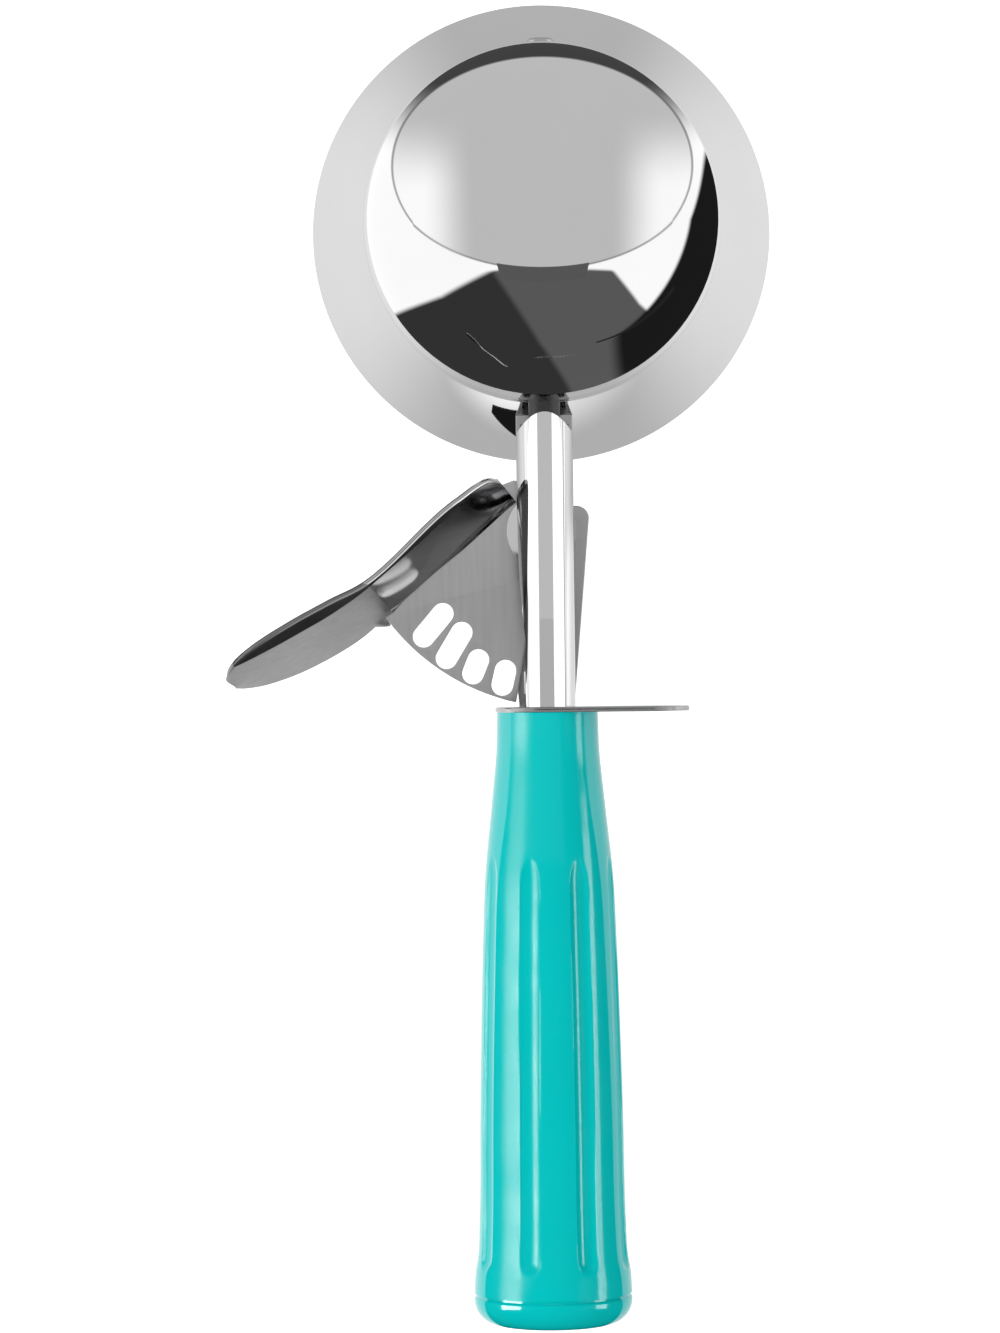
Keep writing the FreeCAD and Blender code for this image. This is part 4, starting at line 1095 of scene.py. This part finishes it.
def tent_ring():
    """Flat ring over the floor. A point of it is mirrored beyond the horizon, at the root of
    one half plus one over (170 times its distance from the dome's axis, less 1.5)."""
    material, nodes, links, glow, out = glow_material("tent floor ring")
    op, _, far, _ = sums(nodes, links)
    x, y = plan_place(nodes, links)
    reach = far(x, y)
    length = op("ADD", op("DIVIDE", 1.0, op("MULTIPLY_ADD", reach, LOW_SCALE, LOW_SHIFT)),
                HORIZON)
    share = op("DIVIDE", length, reach)
    value = tent_value(nodes, links, op("MULTIPLY", x, share), op("MULTIPLY", y, share))
    links.new(value, glow.inputs["Strength"])
    clear_from_behind(nodes, links, glow.outputs[0], out)
    reach = np.geomspace(LOW_R, TENT_R * LOW_REACH, LOW_RINGS)[:, None]
    turn = np.linspace(0, 2 * np.pi, TENT_SIDES, endpoint=False)[None, :]
    grid = np.stack([reach * np.cos(turn), reach * np.sin(turn),
                     np.full((LOW_RINGS, TENT_SIDES), LOW_Z)], -1)
    ring = hang_tent("tent_floor_ring", grid, material)
    if ring.data.polygons[0].normal.z < 0:
        ring.data.flip_normals()


tent_ring()

# %% [markdown]
# The floor is a large pale sheet. The camera sees it white, because it glows a little for
# camera rays on top of what the lamps give, and the scoop still throws its shadow on it. Mirror
# rays see a pale grey, brighter beside the stem and at the skirt's flanks, as the chrome in the
# photograph shows it. From below the sheet is clear, so the underside can be looked at.

# %% Floor: looks
FLOOR_GLOW, FLOOR_MIRRORED, FLOOR_STEM, FLOOR_FLANK = 0.60, 0.52, 0.85, 0.36
PAPER, BESIDE_STEM, FLANK_FADE = 0.86, (-50 * MM, -64 * MM), (0.35, 1.0)
LEFT_SOFT, LEFT_MORE = 20 * MM, 0.30


def floor_material():
    """White to the camera with a soft shadow; to mirror rays an even pale grey that is
    brighter beside the stem, most of all at its left, and at the skirt's flanks."""
    material, nodes, links, mirrored, out = glow_material("pale floor")
    op, soft, far, _ = sums(nodes, links)
    paper = nodes.new("ShaderNodeBsdfDiffuse")
    paper.inputs["Color"].default_value = (PAPER, PAPER, PAPER, 1)
    white = nodes.new("ShaderNodeEmission")
    white.inputs["Strength"].default_value = FLOOR_GLOW
    x, y = plan_place(nodes, links)
    beside = soft(y, *BESIDE_STEM)
    left = op("MULTIPLY_ADD", soft(x, LEFT_SOFT, -LEFT_SOFT), LEFT_MORE,
              FLOOR_STEM - FLOOR_MIRRORED)
    flank = soft(op("DIVIDE", op("ABSOLUTE", x), far(x, y)), *FLANK_FADE)
    near = op("MULTIPLY_ADD", flank, FLOOR_FLANK, FLOOR_MIRRORED)
    links.new(op("MULTIPLY_ADD", beside, left, near), mirrored.inputs["Strength"])
    path = nodes.new("ShaderNodeLightPath").outputs
    seen = add_shaders(nodes, links, paper.outputs[0], white.outputs[0])
    plain = mix_shaders(nodes, links, path["Is Camera Ray"], paper.outputs[0], seen)
    both = mix_shaders(nodes, links, path["Is Glossy Ray"], plain, mirrored.outputs[0])
    clear_from_behind(nodes, links, both, out)
    return material


floor_look = floor_material()
print(floor_look.name, "nodes:", len(floor_look.node_tree.nodes))

# %% [markdown]
# The sheet itself is one square face, far larger than the picture, so its edge never shows. Each
# card further down is such a single face too, so one helper makes them all.

# %% Floor: sheet
FLOOR_HALF = 3.0


def flat_card(name, corners, material):
    """One flat face through its corners; it isn't part of the scoop."""
    mesh = bpy.data.meshes.new(name)
    mesh.from_pydata([tuple(c) for c in corners], [], [list(range(len(corners)))])
    mesh.materials.append(material)
    card = bpy.data.objects.new(name, mesh)
    bpy.context.scene.collection.objects.link(card)
    return card


floor = flat_card("studio_floor", [(-FLOOR_HALF, -FLOOR_HALF, 0), (FLOOR_HALF, -FLOOR_HALF, 0),
                                   (FLOOR_HALF, FLOOR_HALF, 0), (-FLOOR_HALF, FLOOR_HALF, 0)],
                  floor_look)
print("floor side %.0f m" % floor.dimensions.x)

# %% [markdown]
# The stem is a long bright tube with one grey stripe and one thin dark line, and the grip has
# one broad gloss streak. In a studio these come from narrow cards along the tool. The white
# ones glow for one piece alone, by light linking, and are clear to everything else.

# %% Card helpers
def glow_card(name, corners, strength, receiver=None):
    """Card for mirror rays. With a receiver it adds its glow to that piece alone and is clear;
    without one it is a plain card that all pieces see."""
    material, nodes, links, glow, out = glow_material(name + " glow")
    glow.inputs["Strength"].default_value = strength
    if receiver is None:
        links.new(glow.outputs[0], out.inputs["Surface"])
    else:
        clear = nodes.new("ShaderNodeBsdfTransparent").outputs[0]
        links.new(add_shaders(nodes, links, glow.outputs[0], clear), out.inputs["Surface"])
    card = flat_card(name, corners, material)
    stage_only(card)
    if receiver is not None:
        group = bpy.data.collections.new(name + " receiver")
        bpy.context.scene.collection.children.link(group)
        group.objects.link(receiver)
        card.light_linking.receiver_collection = group
    print(name, "strength", strength)


def level_corners(x_from, x_to, y_from, y_to, z):
    """Corners of a level rectangle."""
    return [(x_from, y_from, z), (x_to, y_from, z), (x_to, y_to, z), (x_from, y_to, z)]


def upright_corners(x, y_from, y_to, z_low, z_high):
    """Corners of an upright rectangle along the tool."""
    return [(x, y_from, z_low), (x, y_to, z_low), (x, y_to, z_high), (x, y_from, z_high)]


print("card helpers ready")

# %% [markdown]
# Above the stem hangs a grey card with white ones beside it: mirrored in the round channel they
# are its grey stripe between white bands. A card this size would darken the flat sector too, so
# the sector gets a little light of its own. The thin line at the right of the channel is the
# mirror picture of a narrow dark strip.

# %% Cards over the stem
CARD_Z = 150 * MM
STRIPE_LEFT, STRIPE_RIGHT, CARD_REACH = -72 * MM, 70 * MM, 420 * MM
STRIPE_START, CARD_START, CARD_END = -74 * MM, -24 * MM, -104 * MM
STRIPE_GREY, STRIPE_LIFT, SECTOR_LIFT, CARD_WHITE = 0.11, 0.40, 0.22, 0.85
LINE_X, LINE_LOW, LINE_HIGH, LINE_GREY = 45 * MM, 33.0 * MM, 35.0 * MM, 0.02


def stripe_corners(drop):
    """Corners of the grey card, hung lower by drop so that cards don't share a plane."""
    return level_corners(STRIPE_LEFT, STRIPE_RIGHT, STRIPE_START, CARD_END, CARD_Z - drop)


glow_card("stripe_card", stripe_corners(0), STRIPE_GREY)
glow_card("stem_stripe_card", stripe_corners(1 * MM), STRIPE_LIFT, channel)
glow_card("left_card", level_corners(-CARD_REACH, STRIPE_LEFT, CARD_START, CARD_END, CARD_Z),
          CARD_WHITE, channel)
glow_card("right_card", level_corners(STRIPE_RIGHT, CARD_REACH, CARD_START, CARD_END, CARD_Z),
          CARD_WHITE, channel)
glow_card("line_card", upright_corners(LINE_X, CARD_START, CARD_END, LINE_LOW, LINE_HIGH),
          LINE_GREY)

# %% [markdown]
# Two upright lights stand beside the handle. The left one is tall and gives the wide pale
# streak, and the right one is lower and gives the narrower ones. The cap curves another way, so
# it has lights of its own.

# %% Cards along the grip
STREAK_X, STREAK_WHITE, CAP_STREAK, RIGHT_STREAK = 350 * MM, 45.0, 14.0, 5.0
STREAK_FROM, STREAK_TO = grip_high[1] + 30 * MM, cap_low[1] - 100 * MM
for name, x, low_z, high_z, strength, receiver in (
        ("streak_card", -STREAK_X, 80, 330, STREAK_WHITE, grip),
        ("cap_streak_card", -STREAK_X, 80, 330, CAP_STREAK, end_cap),
        ("right_streak_card", STREAK_X, 70, 170, RIGHT_STREAK, grip),
        ("cap_right_card", STREAK_X, 70, 200, RIGHT_STREAK, end_cap)):
    glow_card(name, upright_corners(x, STREAK_FROM, STREAK_TO, low_z * MM, high_z * MM),
              strength, receiver)

# %% [markdown]
# The bend of the lever catches a light that stands off to the sector's side, seen by the
# lever alone, and the sector gets back what the grey card takes from it. The skirt has a dark
# patch at the stem's left, where it mirrors something low: here a small dark card that lies on
# the floor.

# %% Cards for the bend, the sector and the skirt
BEND_AWAY, BEND_HALF, BEND_LOW, BEND_HIGH = 150 * MM, 120 * MM, 70 * MM, 330 * MM
BEND_WHITE, PATCH_Z, PATCH_GREY = 1.0, 0.5 * MM, 0.01
bend_from = (ridge_start + ridge_end) / 2 - side * BEND_AWAY
bend_first, bend_last = bend_from - along * BEND_HALF, bend_from + along * BEND_HALF
glow_card("bend_card", [(*bend_first, BEND_LOW), (*bend_last, BEND_LOW),
                        (*bend_last, BEND_HIGH), (*bend_first, BEND_HIGH)], BEND_WHITE,
          paddle)
glow_card("sector_card", stripe_corners(2 * MM), SECTOR_LIFT, sector)
patch = np.array([[-3.5, -49.4], [-4.2, -60.0], [-17.0, -57.6], [-16.0, -55.2]]) * MM
glow_card("skirt_patch", [(*corner, PATCH_Z) for corner in patch], PATCH_GREY)

# %% [markdown]
# ## Sky and lamps
# An even white sky at about half strength is the soft light that a studio's pale walls throw
# back. It reaches every side of the scoop, so no shadow turns black.

# %% Sky
SKY_STRENGTH = 0.52
world = bpy.data.worlds.new("studio sky")
bpy.context.scene.world = world
world.use_nodes = True
world.node_tree.nodes["Background"].inputs["Color"].default_value = (1, 1, 1, 1)
world.node_tree.nodes["Background"].inputs["Strength"].default_value = SKY_STRENGTH
print("sky strength", SKY_STRENGTH)

# %% [markdown]
# Two large soft lamps, a stronger one at the left and a weaker one at the right, give the
# plastic its shape and the floor its shadow. Mirror rays don't see them, because a square lamp
# in the dome would look like a window.

# %% Lamps
def soft_lamp(name, place_at, aim, size, power):
    """Square area lamp at place_at, facing aim."""
    lamp = bpy.data.lights.new(name, "AREA")
    lamp.size = size
    lamp.energy = power
    holder = bpy.data.objects.new(name, lamp)
    bpy.context.scene.collection.objects.link(holder)
    holder.location = place_at
    away = np.array(place_at) - np.array(aim)
    holder.visible_glossy = False
    holder.rotation_mode = "QUATERNION"
    holder.rotation_quaternion = Vector(away).to_track_quat("Z", "Y")
    print(name, "%.1f W" % power)


LAMP_SIDE = 0.35
middle = (cad_low + cad_high) / 2
soft_lamp("lamp_left", (-0.55, -0.05, 0.55), middle, LAMP_SIDE, 3.4)
soft_lamp("lamp_right", (0.65, -0.25, 0.6), middle, LAMP_SIDE, 1.8)

# %% [markdown]
# ## Camera
# The photograph looks straight down on the scoop from about 0.9 m with a long lens. One
# pixel is 0.19 mm at the stem's axis, and the scoop leans half a degree in the picture.

# %% Camera
PIXEL = 0.19 * MM
PICTURE = (1000, 1333)
STEM_PX, GUARD_PX = 547.3, 709.3
DISTANCE, ROLL, SENSOR, NEAREST, FARTHEST = 0.874, 0.60, 36, 0.05, 20
camera_data = bpy.data.cameras.new("camera")
camera_data.sensor_width = SENSOR
camera_data.lens = SENSOR * DISTANCE / (PICTURE[1] * PIXEL)
camera = bpy.data.objects.new("camera", camera_data)
bpy.context.scene.collection.objects.link(camera)
roll = np.radians(ROLL)
offset_px = np.array([PICTURE[0] / 2 - STEM_PX, GUARD_PX - PICTURE[1] / 2]) * PIXEL
right = np.array([np.cos(roll), -np.sin(roll)])
upward = np.array([np.sin(roll), np.cos(roll)])
guard_y = (GUARD_TOP + GUARD_FOOT) / 2
eye = np.array([0.0, guard_y]) + right * offset_px[0] + upward * offset_px[1]
camera.location = (eye[0], eye[1], AXIS_Z + DISTANCE)
camera.rotation_euler = (0, 0, -roll)
camera_data.clip_start, camera_data.clip_end = NEAREST, FARTHEST
bpy.context.scene.camera = camera
bpy.context.scene.view_settings.view_transform = "Standard"
print("camera over, mm:", (eye / MM).round(1).tolist(), "lens", round(camera_data.lens, 1))
